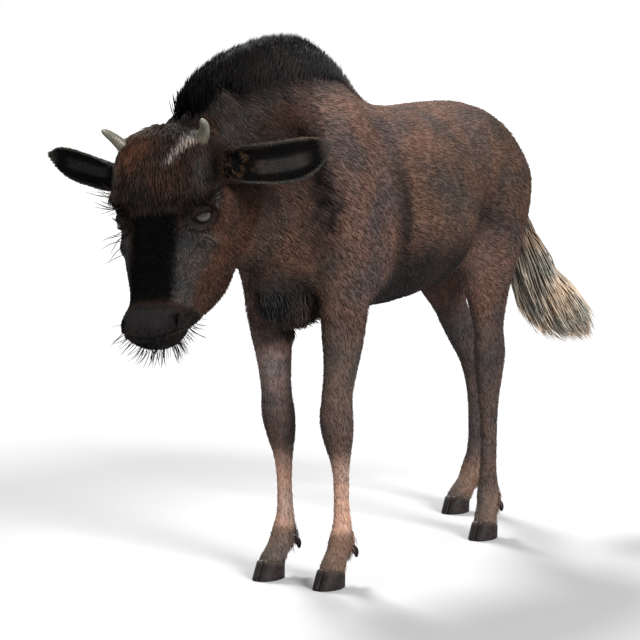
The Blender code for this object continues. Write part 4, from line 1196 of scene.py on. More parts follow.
# %% Colours of the body
side_view = points * (0, 1, 1)
hue = rows_of(*BARREL)
lay(
    hue,
    # painted top light on the back
    (BACK_PAINTED_LIGHT, ramp(0.66, 0.79, z)),
    (RUMP, ramp(0.16, 0.28, y)),
    (REAR, ramp(0.37, 0.44, y)),
    # painted shade under the belly
    (BELLY_PAINTED_SHADE, ramp(0.605, 0.52, z) * (y > -0.2)),
    # painted shade in the flank's hollow
    (FLANK_PAINTED_SHADE, bell(folded_over(points), (0.12, 0.17, 0.57), (0.08, 0.06, 0.08))),
    (SHOULDER_RED, ramp(-0.14, -0.22, y)),
    # painted sheen on the withers
    (BACK_PAINTED_LIGHT, ramp(-0.40, -0.33, y) * ramp(0.74, 0.81, z)),
    # painted shade in the hollow behind the shoulder
    (HOLLOW_PAINTED_SHADE, 0.7 * bell(side_view, (0, -0.165, 0.60), (1, 0.030, 0.11))),
)

neckward = ramp(-0.36, -0.45, y + 0.35 * (z - 0.72))
sheen_edge = 0.785 + 0.30 * (y + 0.56)
# Painted shade on the neck just behind the jaw.
painted_shade_behind_jaw = bell(folded, (0.070, 0.140, -0.125), (0.045, 0.018, 0.070))
breast = ramp(0.56, 0.51, z) * ramp(0.062, 0.040, np.abs(x)) * ramp(-0.20, -0.26, y)
mottle = 0.78 + 0.22 * np.sin(y * 130 + z * 40) * np.sin(z * 150 - y * 50)
# Mottled painted shade in the hollow where the neck meets the shoulder.
band = 1.30 * bell(side_view, (0, -0.435, 0.745), (1, 0.045, 0.042))
band += 1.15 * bell(side_view, (0, -0.402, 0.650), (1, 0.034, 0.075))
lay(
    hue,
    (NECK_BROWN, neckward * ramp(0.60, 0.72, z)),
    (NECK_LOW, neckward * ramp(0.72, 0.60, z)),
    # painted grey sheen along the top of the neck
    (NECK_PAINTED_SHEEN, neckward * ramp(-0.016, 0.016, z - sheen_edge)),
    # painted shade behind the jaw
    (SOOT_BLACK_AND_SHADE, 0.75 * painted_shade_behind_jaw * (1 - is_head)),
    # painted sheen behind the horn
    (NECK_PAINTED_SHEEN, 0.9 * bell(folded, (0.085, 0.085, 0.065), (0.040, 0.035, 0.040))),
    # the beard's dark colour with painted sheen
    (BEARD_DARK_AND_SHEEN, breast * ~is_fore),
    # mottled painted shade where neck meets shoulder
    (HOLLOW_PAINTED_SHADE, np.clip(band, 0, 1) * mottle * ramp(0.03, 0.07, np.abs(x))),
)

hind = (y > 0.1) & ~is_tail
lay(
    hue,
    (THIGH, hind * ramp(0.62, 0.52, z)),
    (SHANK, hind * ramp(0.45, 0.36, z)),
    (CANNON, hind * 0.05 * ramp(0.30, 0.20, z)),
    (FOREARM, is_fore * ramp(0.46, 0.40, z)),
    # painted highlight on the right foreleg
    (FORE_RIGHT_PAINTED_HIGHLIGHT, (x < 0) * is_fore * ramp(0.44, 0.38, z)),
    (KNEE, is_fore * ramp(0.345, 0.30, z)),
    (CANNON, is_fore * ramp(0.235, 0.19, z)),
    (PASTERN, ramp(0.105, 0.075, z)),
)
print("mean colour of body and legs", hue.mean(axis=0).round(3))

# %% [markdown]
# The face is brown at the cheeks and black down the blaze, whose edges are ragged, with painted
# grey sheen beside the blaze and at the back of the head. The cap of the forehead has rusty patches
# between its black ones. Smaller spots are soft hills of colour, and lie alike on both sides of the
# head; the grey ones under the eye and on the cheek bone are painted sheen.

# %% Colours of the head
def spot(strength, at, reach):
    """The share of a soft spot on both sides of the head."""
    return strength * is_head * bell(folded, at, reach)


cheek_line = 0.045 + 0.35 * np.maximum(hz + 0.20, 0)
ragged = 0.0016 * (np.sin(hz * 510) + np.sin(hz * 1370 + hx * 300) + np.sin(hz * 2900 + hx * 900))
blaze_half = 0.036 + 0.09 * (hz + 0.19) * (hz > -0.19) + ragged
blaze_half += 0.016 * (hx < 0) * ramp(-0.12, -0.18, hz)
blaze = ramp(0.008, -0.008, np.abs(hx) - blaze_half) * ramp(-0.096, -0.112, hz) * ramp(0.02, 0.0, hy)
back_of_head = is_head * ramp(0.046, 0.062, hy)
lay(
    hue,
    (CHEEK, is_head),
    # painted sheen beside the blaze
    (CHEEK_PAINTED_SHEEN, is_head * ramp(0.030, -0.010, hy - cheek_line + 0.02) * ramp(-0.12, -0.16, hz)),
    (BLACK, is_head * blaze),
    (NAPE, back_of_head * ramp(-0.075, -0.02, hz)),
    # painted sheen at the back of the head
    (NECK_PAINTED_SHEEN, 0.9 * back_of_head * ramp(-0.01, 0.02, hz)),
    (FOREHEAD, is_head * ramp(-0.118, -0.100, hz) * ramp(0.058, 0.040, hy)),
)

rust = bell(local, (-0.040, -0.010, -0.012), (0.030, 0.05, 0.030)) + 0.5 * ramp(0.072, 0.082, -hx)
rust += 0.8 * bell(local, (0.035, -0.015, -0.055), (0.032, 0.03, 0.026))
rust = 0.8 * rust + 0.14 * (np.sin(hx * 260 + hz * 70) > 0.3)
black = ramp(-0.075, -0.10, hz) + bell(local, (-0.062, -0.01, -0.055), (0.018, 0.03, 0.03))
band = ramp(-0.244, -0.252, hz) * ramp(-0.268, -0.260, hz) * ramp(0.02, 0.0, hy)
lay(
    hue,
    (BLACK, is_cap * 0.55 * black.clip(0, 1)),
    (RUST, is_cap * rust.clip(0, 1)),
    (CHEEK, spot(0.8, (0.090, 0.046, -0.024), (0.022, 0.009, 0.030))),  # before the ear
    (CHEEK, spot(0.6, (0.070, 0.040, 0.026), (0.016, 0.007, 0.022))),  # behind the horn
    (BLACK, spot(1.0, (0.0888, 0.0190, -0.036), (0.018, 0.013, 0.036))),  # temple
    (BLACK, spot(1.0, (0.056, 0.000, -0.118), (0.020, 0.020, 0.017))),  # inner corner of the eye
    (SMOKY_GREY_AND_SHEEN, spot(0.8, (0.0875, 0.034, -0.083), (0.018, 0.010, 0.014))),  # outer corner
    (FROST_AND_SHEEN, spot(0.35, (0.070, -0.002, -0.040), (0.009, 0.014, 0.030))),  # under the horn
    # painted sheen under the eye
    (FROST_AND_SHEEN, spot(0.85, (0.0733, 0.021, -0.1440), (0.014, 0.014, 0.009))),  # under the eye
    (LID_HUE, near_eye * ramp(1.38, 1.20, lid_gap)),
    # painted sheen on the cheek bone
    (SMOKY_GREY_AND_SHEEN, spot(0.6, (0.066, 0.016, -0.160), (0.016, 0.016, 0.020))),  # cheek bone
    (MUZZLE, is_head * ramp(-0.250, -0.260, hz)),
    (RUST, is_head * 0.14 * band),
    (PAD, pad),
    (BLACK, is_head * hole),
)
print("mean colour of the head", hue[is_head].mean(axis=0).round(3))

# %% [markdown]
# The ears are black with gold specks at their roots and frost on their rims, a pale streak lies
# before the left horn, and the neck darkens towards the mane.

# %% Colours of ears, streak and mane
STREAK_START = np.array((0.0508, 0.0123, 0.0182))
STREAK_END = np.array((0.0224, -0.0138, -0.0271))

at_root = bell(folded, (0.0957, 0.0560, -0.024), (0.030, 0.026, 0.026))
speckled = 0.7 * (np.sin(hx * 1900) * np.sin(hy * 2300 + 1) * np.sin(hz * 2700 + 2) > 0.30)
streak_way = STREAK_END - STREAK_START
streak_share = np.clip((local - STREAK_START) @ streak_way / (streak_way @ streak_way), 0, 1)
streak_gap = gap_to(local - streak_share[:, None] * streak_way, STREAK_START)
streak = ridge(streak_gap, 0, 0.0085 - 0.0045 * streak_share) * is_head
mane_gap = np.abs(x - crest_middle(y))
is_mane = ramp(0.024, 0.016, mane_gap) * ramp(0.1, 0.4, normals[:, 2])
is_mane *= ramp(-0.12, -0.17, y) * ramp(0.77, 0.80, z) * ~is_ear * ramp(-0.70, -0.66, y)
near_mane = ramp(0.066, 0.030, mane_gap) * ramp(-0.16, -0.34, y) * ~is_head * ~is_ear
lay(
    hue,
    (EAR, is_ear),
    (CUP, in_cup**2),
    (FROST_AND_SHEEN, 0.35 * rim),
    (BLACK, np.clip(1.6 * at_root, 0, 1)),
    (GOLD, speckled * np.clip(1.3 * at_root, 0, 1) * (hx > 0)),
    (GOLD, 0.5 * speckled * rim),
    (STREAK, streak),
    (TAIL_ROOT, is_tail),
    (SOOT_BLACK_AND_SHADE, near_mane * ramp(0.745, 0.79, z)),
    (BLACK, near_mane**2 * ramp(0.72, 0.78, z) * ramp(-0.46, -0.58, y)),
    (SOOT_BLACK_AND_SHADE, is_mane),
)
print("mean colour", hue.mean(axis=0).round(3))

# %% [markdown]
# ### An unwrap of the skin
# Each part is unrolled like the skin of a fruit: the turn round its middle goes across the sheet
# and the way along it goes up. A face that crosses the seam is moved to one side, so that nothing
# is smeared. The tufts' patches of texture lie at their roots' places on this sheet.

# %% Unwrap
turn_trunk = np.arctan2(x - np.where(y < -0.4, crest_middle(y), 0), z - 0.66) / (2 * math.pi)
turn_head = np.arctan2(hx, 0.05 - hy) / (2 * math.pi)
turn_leg = np.arctan2(x - leg_middle[:, 0], leg_middle[:, 1] - y) / (2 * math.pi)
offset = points - tail_middle
turn_tail = np.arctan2(offset[:, 0], offset[:, 1] + offset[:, 2]) / (2 * math.pi)
sheet = np.column_stack((turn_trunk, y))
sheet[is_head] = np.column_stack((turn_head, hz))[is_head]
on_leg = is_fore | is_hind
sheet[on_leg] = np.column_stack((turn_leg, z))[on_leg]
sheet[is_tail] = np.column_stack((turn_tail, tail_share))[is_tail]
for share, rise, near, inside, axis in ear_fields.values():
    sheet[near] = np.column_stack((rise * 0.2 + 0.5 * (inside > 0.5), share))[near]
print("the sheet reaches from", sheet.min(axis=0), "to", sheet.max(axis=0))

# %% [markdown]
# ## Materials of skin and coat
# A material is a tree of nodes, so a helper adds a node with its settings and inputs.

# %% Nodes and materials
def add(tree, kind, inputs=None, **settings):
    """A node with its settings, and with its inputs set or linked."""
    made = tree.nodes.new(kind)
    for name, value in settings.items():
        setattr(made, name, value)
    for key, value in (inputs or {}).items():
        if isinstance(value, bpy.types.NodeSocket):
            tree.links.new(value, made.inputs[key])
        else:
            made.inputs[key].default_value = value
    return made


def new_paint(name, roughness, **shader_inputs):
    made = bpy.data.materials.new(name)
    made.use_nodes = True
    shader = made.node_tree.nodes["Principled BSDF"]
    shader.inputs["Roughness"].default_value = roughness
    shader.inputs["Specular IOR Level"].default_value = 0.4 if roughness < 0.5 else 0.03
    for key, value in shader_inputs.items():
        shader.inputs[key.replace("_", " ")].default_value = value
    return made, made.node_tree, shader


print("materials so far", len(bpy.data.materials))

# %% [markdown]
# These are the steps that nearly every material here takes: soft noise, a change of range, a
# little arithmetic, a mix of two colours, and relief.

# %% Steps of a material
def noise(tree, scale, detail=3.0, vector=None):
    """A noise on the piece's own coordinates, unless another vector is given."""
    vector = vector or add(tree, "ShaderNodeTexCoord").outputs["Object"]
    made = add(tree, "ShaderNodeTexNoise", {"Vector": vector, "Scale": scale, "Detail": detail})
    return made.outputs["Fac"]


def spread(tree, value, low, high, start=0.25, end=0.75):
    """A value brought from one range into another."""
    return add(tree, "ShaderNodeMapRange", {
        "Value": value, "From Min": start, "From Max": end, "To Min": low, "To Max": high,
    }).outputs["Result"]


def maths(tree, operation, *values):
    """A step of arithmetic on numbers."""
    return add(tree, "ShaderNodeMath", dict(enumerate(values)), operation=operation).outputs[0]


def vector_maths(tree, operation, one, *other):
    """A step of arithmetic on vectors or colours. Only a scale takes a number as its other."""
    key = "Scale" if operation == "SCALE" else 1
    inputs = {0: one, **{key: value for value in other}}
    made = add(tree, "ShaderNodeVectorMath", inputs, operation=operation)
    return made.outputs["Value" if operation == "LENGTH" else "Vector"]


def scaled(tree, colour, *factors):
    """A colour times one factor after another."""
    for factor in factors:
        colour = vector_maths(tree, "SCALE", colour, factor)
    return colour


def mixed(tree, share, one, other):
    """One colour where the share is 0, and another where it is 1."""
    made = add(tree, "ShaderNodeMix", {0: share, 6: one, 7: other}, data_type="RGBA")
    return made.outputs[2]


def carried(tree, name, kind="Fac"):
    """A number, vector or colour that the mesh's points carry."""
    return add(tree, "ShaderNodeAttribute", attribute_name=name).outputs[kind]


def coloured(tree, shader, colour):
    tree.links.new(colour, shader.inputs["Base Color"])


def bumped(tree, shader, height, strength, distance):
    inputs = {"Strength": strength, "Distance": distance, "Height": height}
    bump = add(tree, "ShaderNodeBump", inputs)
    tree.links.new(bump.outputs["Normal"], shader.inputs["Normal"])


# %% [markdown]
# ### The coat's markings
# One set of nodes makes the markings. It takes the colour that the point carries, shifts it towards
# red or grey in soft patches, and gives the darker and lighter grains. Skin and coat both use it,
# so the coat's thin places never show. The skin is darkened by painted shade, as between hairs, and
# the hair goes from dark roots to light tips, a little differently in each tuft.

# %% Skin and coat
def markings(tree):
    """The coat's colour in its patches of red and grey, and the darker and lighter grains."""
    hue = carried(tree, "hue", "Color")
    patches = spread(tree, noise(tree, 13, 4), 0, 1, 0.36, 0.64)
    grains = spread(tree, noise(tree, 75, 3), 0.80, 1.20, 0.32, 0.68)
    red = vector_maths(tree, "MULTIPLY", hue, (1.22, 1.04, 0.96))
    grey = vector_maths(tree, "MULTIPLY", hue, (0.70, 0.78, 0.86))
    return mixed(tree, patches, red, grey), grains


def hide_paint():
    """The skin: the markings with painted shade as between hairs, and streaks that follow the coat.
    """
    paint, tree, shader = new_paint("hide", 0.62)
    colour, grains = markings(tree)
    # the factor 0.80 is painted shade, as between hairs
    coloured(tree, shader, scaled(tree, colour, grains, 0.80))
    unrolled_skin = add(tree, "ShaderNodeUVMap", uv_map="sheet").outputs["UV"]
    stretch = add(tree, "ShaderNodeMapping", {"Vector": unrolled_skin, "Scale": (420, 60, 1)})
    bumped(tree, shader, noise(tree, 1.0, 2, stretch.outputs["Vector"]), 0.5, 0.0015)
    return paint


def coat_paint(name, roughness=0.55, root=0.72, tip=1.16, least=0.78, most=1.22):
    """Hair: the markings, from darker roots to lighter tips, and each tuft a little different."""
    paint, tree, shader = new_paint(name, roughness)
    colour, grains = markings(tree)
    shade = spread(tree, carried(tree, "shade"), least, most, 0, 1)
    height = add(tree, "ShaderNodeUVMap", uv_map="blade").outputs["UV"]
    height = add(tree, "ShaderNodeSeparateXYZ", {"Vector": height}).outputs["Y"]
    factor = maths(tree, "MULTIPLY", shade, spread(tree, height, root, tip, 0, 1))
    coloured(tree, shader, scaled(tree, colour, grains, factor))
    return paint


hide = hide_paint()
fur_paint = coat_paint("short_coat")
face_paint = coat_paint("face_hair", root=0.55, tip=1.25, least=0.5, most=1.5)
cap_paint = coat_paint("forehead_hair", root=0.45, tip=1.25, least=0.4, most=1.6)
mane_paint = coat_paint("mane_hair", roughness=0.5, root=0.6, tip=1.5)
tail_paint = coat_paint("tail_hair", roughness=0.5, root=0.60, tip=1.25, least=0.7, most=1.25)
print("materials", len(bpy.data.materials))

# %% [markdown]
# ## Growing the coat
# Hair curves and particles would be easier, but they don't leave Blender as solid shapes. So one
# Geometry Nodes tree scatters points over a patch of skin, stands a small closed blade on each,
# turned along the lie, and makes the result a plain mesh.

# %% Blades
def make_blade(name, sections, thick, bend, lean):
    """A closed three-sided blade along Z, one long. It bends over towards the skin at -Y."""
    mesh = bmesh.new()
    rows = []
    for share, width in sections:
        bow = bend * (4 * share * (1 - share)) - 0.10 * share * share
        side = lean * share * share
        middle = Vector((side, bow, share))
        deep = thick * width
        rows.append([
            mesh.verts.new(middle + Vector((-width / 2, -deep / 2, 0))),
            mesh.verts.new(middle + Vector((width / 2, -deep / 2, 0))),
            mesh.verts.new(middle + Vector((0, deep / 2, 0))),
        ])
    root = mesh.verts.new((0, -0.04, -0.10))
    tip = mesh.verts.new((lean, -0.10, 1.0))
    for k in range(3):
        mesh.faces.new((rows[0][k], root, rows[0][(k + 1) % 3]))
        mesh.faces.new((rows[-1][k], rows[-1][(k + 1) % 3], tip))
    for one, two in zip(rows, rows[1:]):
        for k in range(3):
            mesh.faces.new((one[k], one[(k + 1) % 3], two[(k + 1) % 3], two[k]))
    made = as_object(name, mesh)
    layer = made.data.uv_layers.new(name="blade")
    for loop in made.data.loops:
        at = made.data.vertices[loop.vertex_index].co
        layer.data[loop.index].uv = (0.5 + at.x / 2, max(0, at.z))
    made.data.shade_smooth()
    return made


def make_blades(name, sections, thick, bend=0.05):
    """A collection of three blades that lean left, straight and right."""
    home = bpy.data.collections.new(name)
    scene.collection.children.link(home)
    for number, lean in enumerate((-0.8, 0.1, 0.9)):
        blade = make_blade(f"{name}_{number}", sections, thick, bend * (0.6 + 0.4 * number), lean)
        scene.collection.objects.unlink(blade)
        home.objects.link(blade)
    return home


short_blades = make_blades("short_blades", [(0.40, 1.0)], 0.045)
shaggy_blades = make_blades("shaggy_blades", [(0.10, 0.8), (0.45, 1.0), (0.78, 0.6)], 0.05, 0.08)
long_blades = make_blades(
    "long_blades", [(0.05, 0.8), (0.3, 1.0), (0.55, 0.85), (0.8, 0.5)], 0.03, 0.05)
tail_blades = make_blades(
    "tail_blades", [(0.03, 0.8), (0.25, 1.0), (0.5, 0.95), (0.72, 0.7), (0.88, 0.4)], 0.02, 0.07)

# %% [markdown]
# ### The tree that grows a coat
# The tree's inputs have names, so that one tree can grow every kind of hair: on which patch, from
# which blades, how densely, how tidily, how evenly, from which seed and in which material.

# %% The tree and its inputs
PATCH = 0.003  # the width of a tuft's place on the texture sheet

coat_tree = bpy.data.node_groups.new("grow coat", "GeometryNodeTree")
for name, kind, value in (
    ("Geometry", "NodeSocketGeometry", None),
    ("Blades", "NodeSocketCollection", None),
    ("Density", "NodeSocketFloat", 1.0),
    ("Disorder", "NodeSocketFloat", 0.2),
    ("Size spread", "NodeSocketFloat", 0.25),
    ("Patch", "NodeSocketFloat", PATCH),
    ("Seed", "NodeSocketInt", 1),
    ("Material", "NodeSocketMaterial", None),
):
    socket = coat_tree.interface.new_socket(name, in_out="INPUT", socket_type=kind)
    if value is not None:
        socket.default_value = value
coat_tree.interface.new_socket("Geometry", in_out="OUTPUT", socket_type="NodeSocketGeometry")
given = add(coat_tree, "NodeGroupInput").outputs
TREE_INPUTS = {
    item.name: item.identifier for item in coat_tree.interface.items_tree if item.in_out == "INPUT"
}


def read(name, kind="FLOAT"):
    """A field that the patch carries."""
    made = add(coat_tree, "GeometryNodeInputNamedAttribute", {"Name": name}, data_type=kind)
    return made.outputs[0]


def chance(low, high, step, kind="FLOAT"):
    """A random value for each tuft. Every use has its own step from the seed."""
    seed = add(coat_tree, "FunctionNodeIntegerMath", {0: given["Seed"], 1: step}).outputs[0]
    first, second, out = {"FLOAT": (2, 3, 1), "INT": (4, 5, 2), "FLOAT_VECTOR": (0, 1, 0)}[kind]
    inputs = {first: low, second: high, "Seed": seed}
    return add(coat_tree, "FunctionNodeRandomValue", inputs, data_type=kind).outputs[out]


print("inputs", *TREE_INPUTS)

# %% [markdown]
# The roots are scattered by the cover. At each one the blade is turned along the lie, shaken by
# some disorder and raised from the skin by the lift.

# %% Roots and directions
scatter = add(coat_tree, "GeometryNodeDistributePointsOnFaces", {
    "Mesh": given["Geometry"],
    "Density": maths(coat_tree, "MULTIPLY", read("cover"), given["Density"]),
    "Seed": given["Seed"],
})
upright = scatter.outputs["Normal"]
tuft = add(coat_tree, "ShaderNodeSeparateXYZ", {"Vector": read("fur", "FLOAT_VECTOR")}).outputs
lift = maths(coat_tree, "MULTIPLY", tuft["Z"], chance(0.55, 1.45, 1))
shake = chance((-1, -1, -1), (1, 1, 1), 2, "FLOAT_VECTOR")
shake = vector_maths(coat_tree, "SCALE", shake, given["Disorder"])
along = vector_maths(coat_tree, "ADD", read("lie", "FLOAT_VECTOR"), shake)
along = vector_maths(coat_tree, "NORMALIZE", along)
along = vector_maths(coat_tree, "SCALE", along, maths(coat_tree, "COSINE", lift))
raised = vector_maths(coat_tree, "SCALE", upright, maths(coat_tree, "SINE", lift))
aim = add(coat_tree, "FunctionNodeAxesToRotation", {
    "Primary Axis": vector_maths(coat_tree, "ADD", along, raised), "Secondary Axis": upright,
}, primary_axis="Z", secondary_axis="Y")
print("nodes of the tree", len(coat_tree.nodes))

# %% [markdown]
# A blade is one long, so its scale is the tuft's size, a little different for each. One of the
# collection's blades is picked by chance, and a random shade is kept for the material.

# %% Sizes and blades
less, more = (maths(coat_tree, way, 1.0, given["Size spread"]) for way in ("SUBTRACT", "ADD"))
wide = maths(coat_tree, "MULTIPLY", tuft["X"], chance(less, more, 3))
long = maths(coat_tree, "MULTIPLY", tuft["Y"], chance(less, more, 4))
size = add(coat_tree, "ShaderNodeCombineXYZ", {"X": wide, "Y": long, "Z": long}).outputs[0]
stamps = add(coat_tree, "GeometryNodeCollectionInfo", {
    "Collection": given["Blades"], "Separate Children": True, "Reset Children": True,
})
tufts = add(coat_tree, "GeometryNodeInstanceOnPoints", {
    "Points": scatter.outputs["Points"], "Instance": stamps.outputs[0],
    "Pick Instance": True, "Instance Index": chance(0, 2, 5, "INT"),
    "Rotation": aim.outputs[0], "Scale": size,
})
shaded = add(coat_tree, "GeometryNodeStoreNamedAttribute", {
    "Geometry": tufts.outputs[0], "Name": "shade", "Value": chance(0.0, 1.0, 6),
}, data_type="FLOAT", domain="INSTANCE")
print("nodes of the tree", len(coat_tree.nodes))

# %% [markdown]
# The tufts are realised as one mesh. Each gets a small patch of the texture sheet at its root's
# place, the fields that are no longer needed go, and one material is set.

# %% One mesh
real = add(coat_tree, "GeometryNodeRealizeInstances", {"Geometry": shaded.outputs[0]})
own = vector_maths(coat_tree, "SUBTRACT", read("blade", "FLOAT_VECTOR"), (0.5, 0.5, 0))
own = vector_maths(coat_tree, "SCALE", own, given["Patch"])
grown = add(coat_tree, "GeometryNodeStoreNamedAttribute", {
    "Geometry": real.outputs[0], "Name": "OFBake",
    "Value": vector_maths(coat_tree, "ADD", read("root", "FLOAT_VECTOR"), own),
}, data_type="FLOAT2", domain="CORNER").outputs[0]
for name in ("lie", "fur", "cover", "root"):
    inputs = {"Geometry": grown, "Name": name}
    grown = add(coat_tree, "GeometryNodeRemoveAttribute", inputs).outputs[0]
inputs = {"Geometry": grown, "Material": given["Material"]}
painted = add(coat_tree, "GeometryNodeSetMaterial", inputs)
add(coat_tree, "NodeGroupOutput", {0: painted.outputs[0]})
print("nodes of the tree", len(coat_tree.nodes))

# %% [markdown]
# ### Patches of skin
# The tree could scatter over the whole skin, but one piece of coat would be too large. So the faces
# of one part are copied as a patch, with the fields that the tree reads stored on it.

# %% Patches of skin
def store(data, name, kind, domain, values):
    """Values kept on a mesh under a name."""
    layer = data.attributes.new(name, kind, domain)
    field = {"FLOAT": "value", "FLOAT_COLOR": "color"}.get(kind, "vector")
    layer.data.foreach_set(field, np.ascontiguousarray(values, np.float32).ravel())


def store_hue(data, colours):
    opaque = np.column_stack((colours, np.ones(len(colours))))
    store(data, "hue", "FLOAT_COLOR", "POINT", opaque)


def unrolled(faces):
    """The faces' corners, and their places on the sheet with no face across the seam."""
    corners = np.concatenate([np.array(face) for face in faces])
    starts = np.concatenate([np.full(len(face), face[0]) for face in faces])
    laid = sheet[corners].copy()
    laid[:, 0] += np.round(sheet[starts, 0] - laid[:, 0])
    return corners, laid


skin_faces = [tuple(face.vertices) for face in skin.data.polygons]
face_first = np.array([face[0] for face in skin_faces])


def make_patch(name, chosen, fields):
    """A copy of the chosen points' faces, with the fields that the tree reads."""
    faces = [skin_faces[i] for i in np.nonzero(chosen[face_first])[0]]
    corners, root = unrolled(faces)
    used = np.unique(corners)
    number = np.full(len(points), -1)
    number[used] = np.arange(len(used))
    data = bpy.data.meshes.new(name)
    data.from_pydata(points[used], [], [[int(number[v]) for v in face] for face in faces])
    for field, kind in (("lie", "FLOAT_VECTOR"), ("fur", "FLOAT_VECTOR"), ("cover", "FLOAT")):
        store(data, field, kind, "POINT", fields[field][used])
    store_hue(data, fields["hue"][used])
    low, high = root.min(axis=0), root.max(axis=0)
    root = 0.01 + 0.98 * (root - low) / (high - low)
    store(data, "root", "FLOAT_VECTOR", "CORNER", np.column_stack((root, np.zeros(len(root)))))
    return new_object(name, data)


def patch_area(made):
    """The patch's area, each face counted by the cover of its first point."""
    amount = np.zeros(len(made.data.vertices), np.float32)
    made.data.attributes["cover"].data.foreach_get("value", amount)
    area = np.zeros(len(made.data.polygons))
    made.data.polygons.foreach_get("area", area)
    first = np.array([face.vertices[0] for face in made.data.polygons])
    return float((area * amount[first]).sum())


print("faces of the skin", len(skin_faces))

# %% [markdown]
# ### One piece of coat
# A modifier runs the tree on a patch. Its inputs are set by the sockets' own identifiers, and the
# density is worked out from the number of tufts, so that the number is what is chosen. The result
# is kept as a plain mesh, and the patch goes.

# %% One piece of coat
QUICK_SHARE = 1.0


def grow(name, chosen, fields, blades, count, paint, seed, disorder=0.2, size_spread=0.25):
    """Grows so many tufts on the chosen points' faces, as one plain mesh."""
    patch = make_patch(name, chosen, fields)
    modifier = patch.modifiers.new("coat", "NODES")
    modifier.node_group = coat_tree
    for key, value in (
        ("Blades", blades), ("Density", count / patch_area(patch)), ("Disorder", disorder),
        ("Size spread", size_spread), ("Patch", PATCH), ("Seed", seed), ("Material", paint),
    ):
        modifier[TREE_INPUTS[key]] = value
    bpy.context.view_layer.update()
    view = bpy.context.evaluated_depsgraph_get()
    data = bpy.data.meshes.new_from_object(patch.evaluated_get(view))
    bpy.data.objects.remove(patch)
    made = new_object(name, data)
    data.name = name
    print(name, sum(len(face.vertices) - 2 for face in data.polygons), "triangles")
    return made


def place(made, slot, *nodes):
    """Moves a finished piece to the CAD model's place, and lets it ride on the body."""
    made.data.transform(Matrix.Translation(SHIFT))
    made.data.update()
    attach(made, "root")
    if nodes:
        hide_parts(*nodes)


# %% [markdown]
# ## The short coat
# The coat is grown part by part, so that no piece grows too large: the face has the finest and
# closest tufts, the trunk broader ones.

# %% The short coat
fields = {"lie": lie, "fur": fur, "cover": cover, "hue": hue}
coat = []
for number, (name, chosen, count, paint) in enumerate((
    ("fur_face", is_head & (hy < 0.052) & (is_cap < 0.5), 29000, face_paint),
    ("fur_cheeks", is_head & (hy >= 0.052) & (is_cap < 0.5), 21000, face_paint),
    ("fur_ears", is_ear, 9000, fur_paint),
    ("fur_neck", is_neck, 17000, fur_paint),
    ("fur_shoulders", is_shoulder, 17000, fur_paint),
    ("fur_barrel", is_barrel, 20000, fur_paint),
    ("fur_rump", is_rump, 19000, fur_paint),
    ("fur_forelegs", is_fore, 14000, fur_paint),
    ("fur_hindlegs", is_hind, 14000, fur_paint),
)):
    coat.append(grow(name, chosen, fields, short_blades, count * QUICK_SHARE, paint, 11 + number))

# %% [markdown]
# The forehead's cap is longer and shaggier. It fans down from between the horns and ends in an
# edge over the blaze.

# %% The forehead's cap
cap_long = 0.012 + 0.006 * ramp(-0.105, -0.07, hz) - 0.004 * ramp(0.055, 0.080, np.abs(hx))
cap_fields = {**fields, "fur": rows_of(0.0011, cap_long, 0.10)}
coat.append(grow(
    "fur_forehead", is_cap >= 0.5, cap_fields, shaggy_blades, 9400 * QUICK_SHARE, cap_paint,
    seed=31, disorder=0.14, size_spread=0.35,
))

# %% [markdown]
# ## Mane, beard and tail
# The mane stands straight up from the crest, black and dense as a brush. It is tallest at the poll,
# ends short on the withers, and leans a little to each side of the middle, so that it looks full.

# %% The mane
crest_share = np.clip((y + 0.66) / 0.51, 0, 1)
mane_long = 0.027 * np.clip(7 * (1 - crest_share), 0.25, 1)
mane_long += 0.019 * np.clip(1 - 4 * crest_share, 0, 1)
mane_long *= 1 - 0.55 * ramp(0.012, 0.046, mane_gap)
mane_lean = 0.30 - 0.50 * ramp(-0.55, -0.64, y)
mane_side = ramp(0.048, 0.030, mane_gap) * ramp(-0.12, -0.17, y) * ramp(0.765, 0.80, z)
mane_side *= ~is_ear * ~is_head
mane_cover = np.maximum(is_mane, 0.5 * mane_side) * ramp(-0.645, -0.622, y)
mane_hue = rows_of(*BLACK)
lay(
    mane_hue,
    (SOOT_BLACK_AND_SHADE, ramp(0.10, 0.50, crest_share) * ramp(0.0, 0.03, mane_gap)),
    # painted sheen on the mane towards the withers
    (SMOKY_GREY_AND_SHEEN, 0.6 * ramp(0.70, 0.95, crest_share)),
)
mane_fields = {
    "lie": unit(rows_of(8 * (x - crest_middle(y)), mane_lean, 1.0)),
    "fur": rows_of(0.0014, mane_long, 0.0),
    "cover": mane_cover,
    "hue": mane_hue,
}
mane = grow(
    "mane", mane_cover > 0.03, mane_fields, shaggy_blades, 9500 * QUICK_SHARE, mane_paint,
    seed=41, disorder=0.12, size_spread=0.14,
)

# %% [markdown]
# The beard is the tuft of the chest. It hangs between the forelegs, and its hairs fall nearly
# straight down along the skin.

# %% The beard between the forelegs
beard_cover = ramp(0.050, 0.040, np.abs(x)) * ramp(-0.470, -0.455, y) * ramp(-0.215, -0.230, y)
beard_cover *= ramp(0.505, 0.490, z) * (z > 0.42) * ramp(0.048, 0.036, np.abs(x))
beard_fields = {
    "lie": in_surface(rows_of(0.0, 0.25, -1.0), least=0.2),
    "fur": rows_of(0.0018, 0.0240, 0.30),
    "cover": beard_cover,
    # the beard's dark colour with painted sheen
    "hue": rows_of(*BEARD_DARK_AND_SHEEN),
}
beard = grow(
    "beard", beard_cover > 0.05, beard_fields, shaggy_blades, 3400 * QUICK_SHARE, mane_paint,
    seed=43, disorder=0.25, size_spread=0.3,
)

# %% [markdown]
# The tail's long pale hairs grow from its dock, darker at the root. Their ends sweep back and to
# the left, as in the photograph.

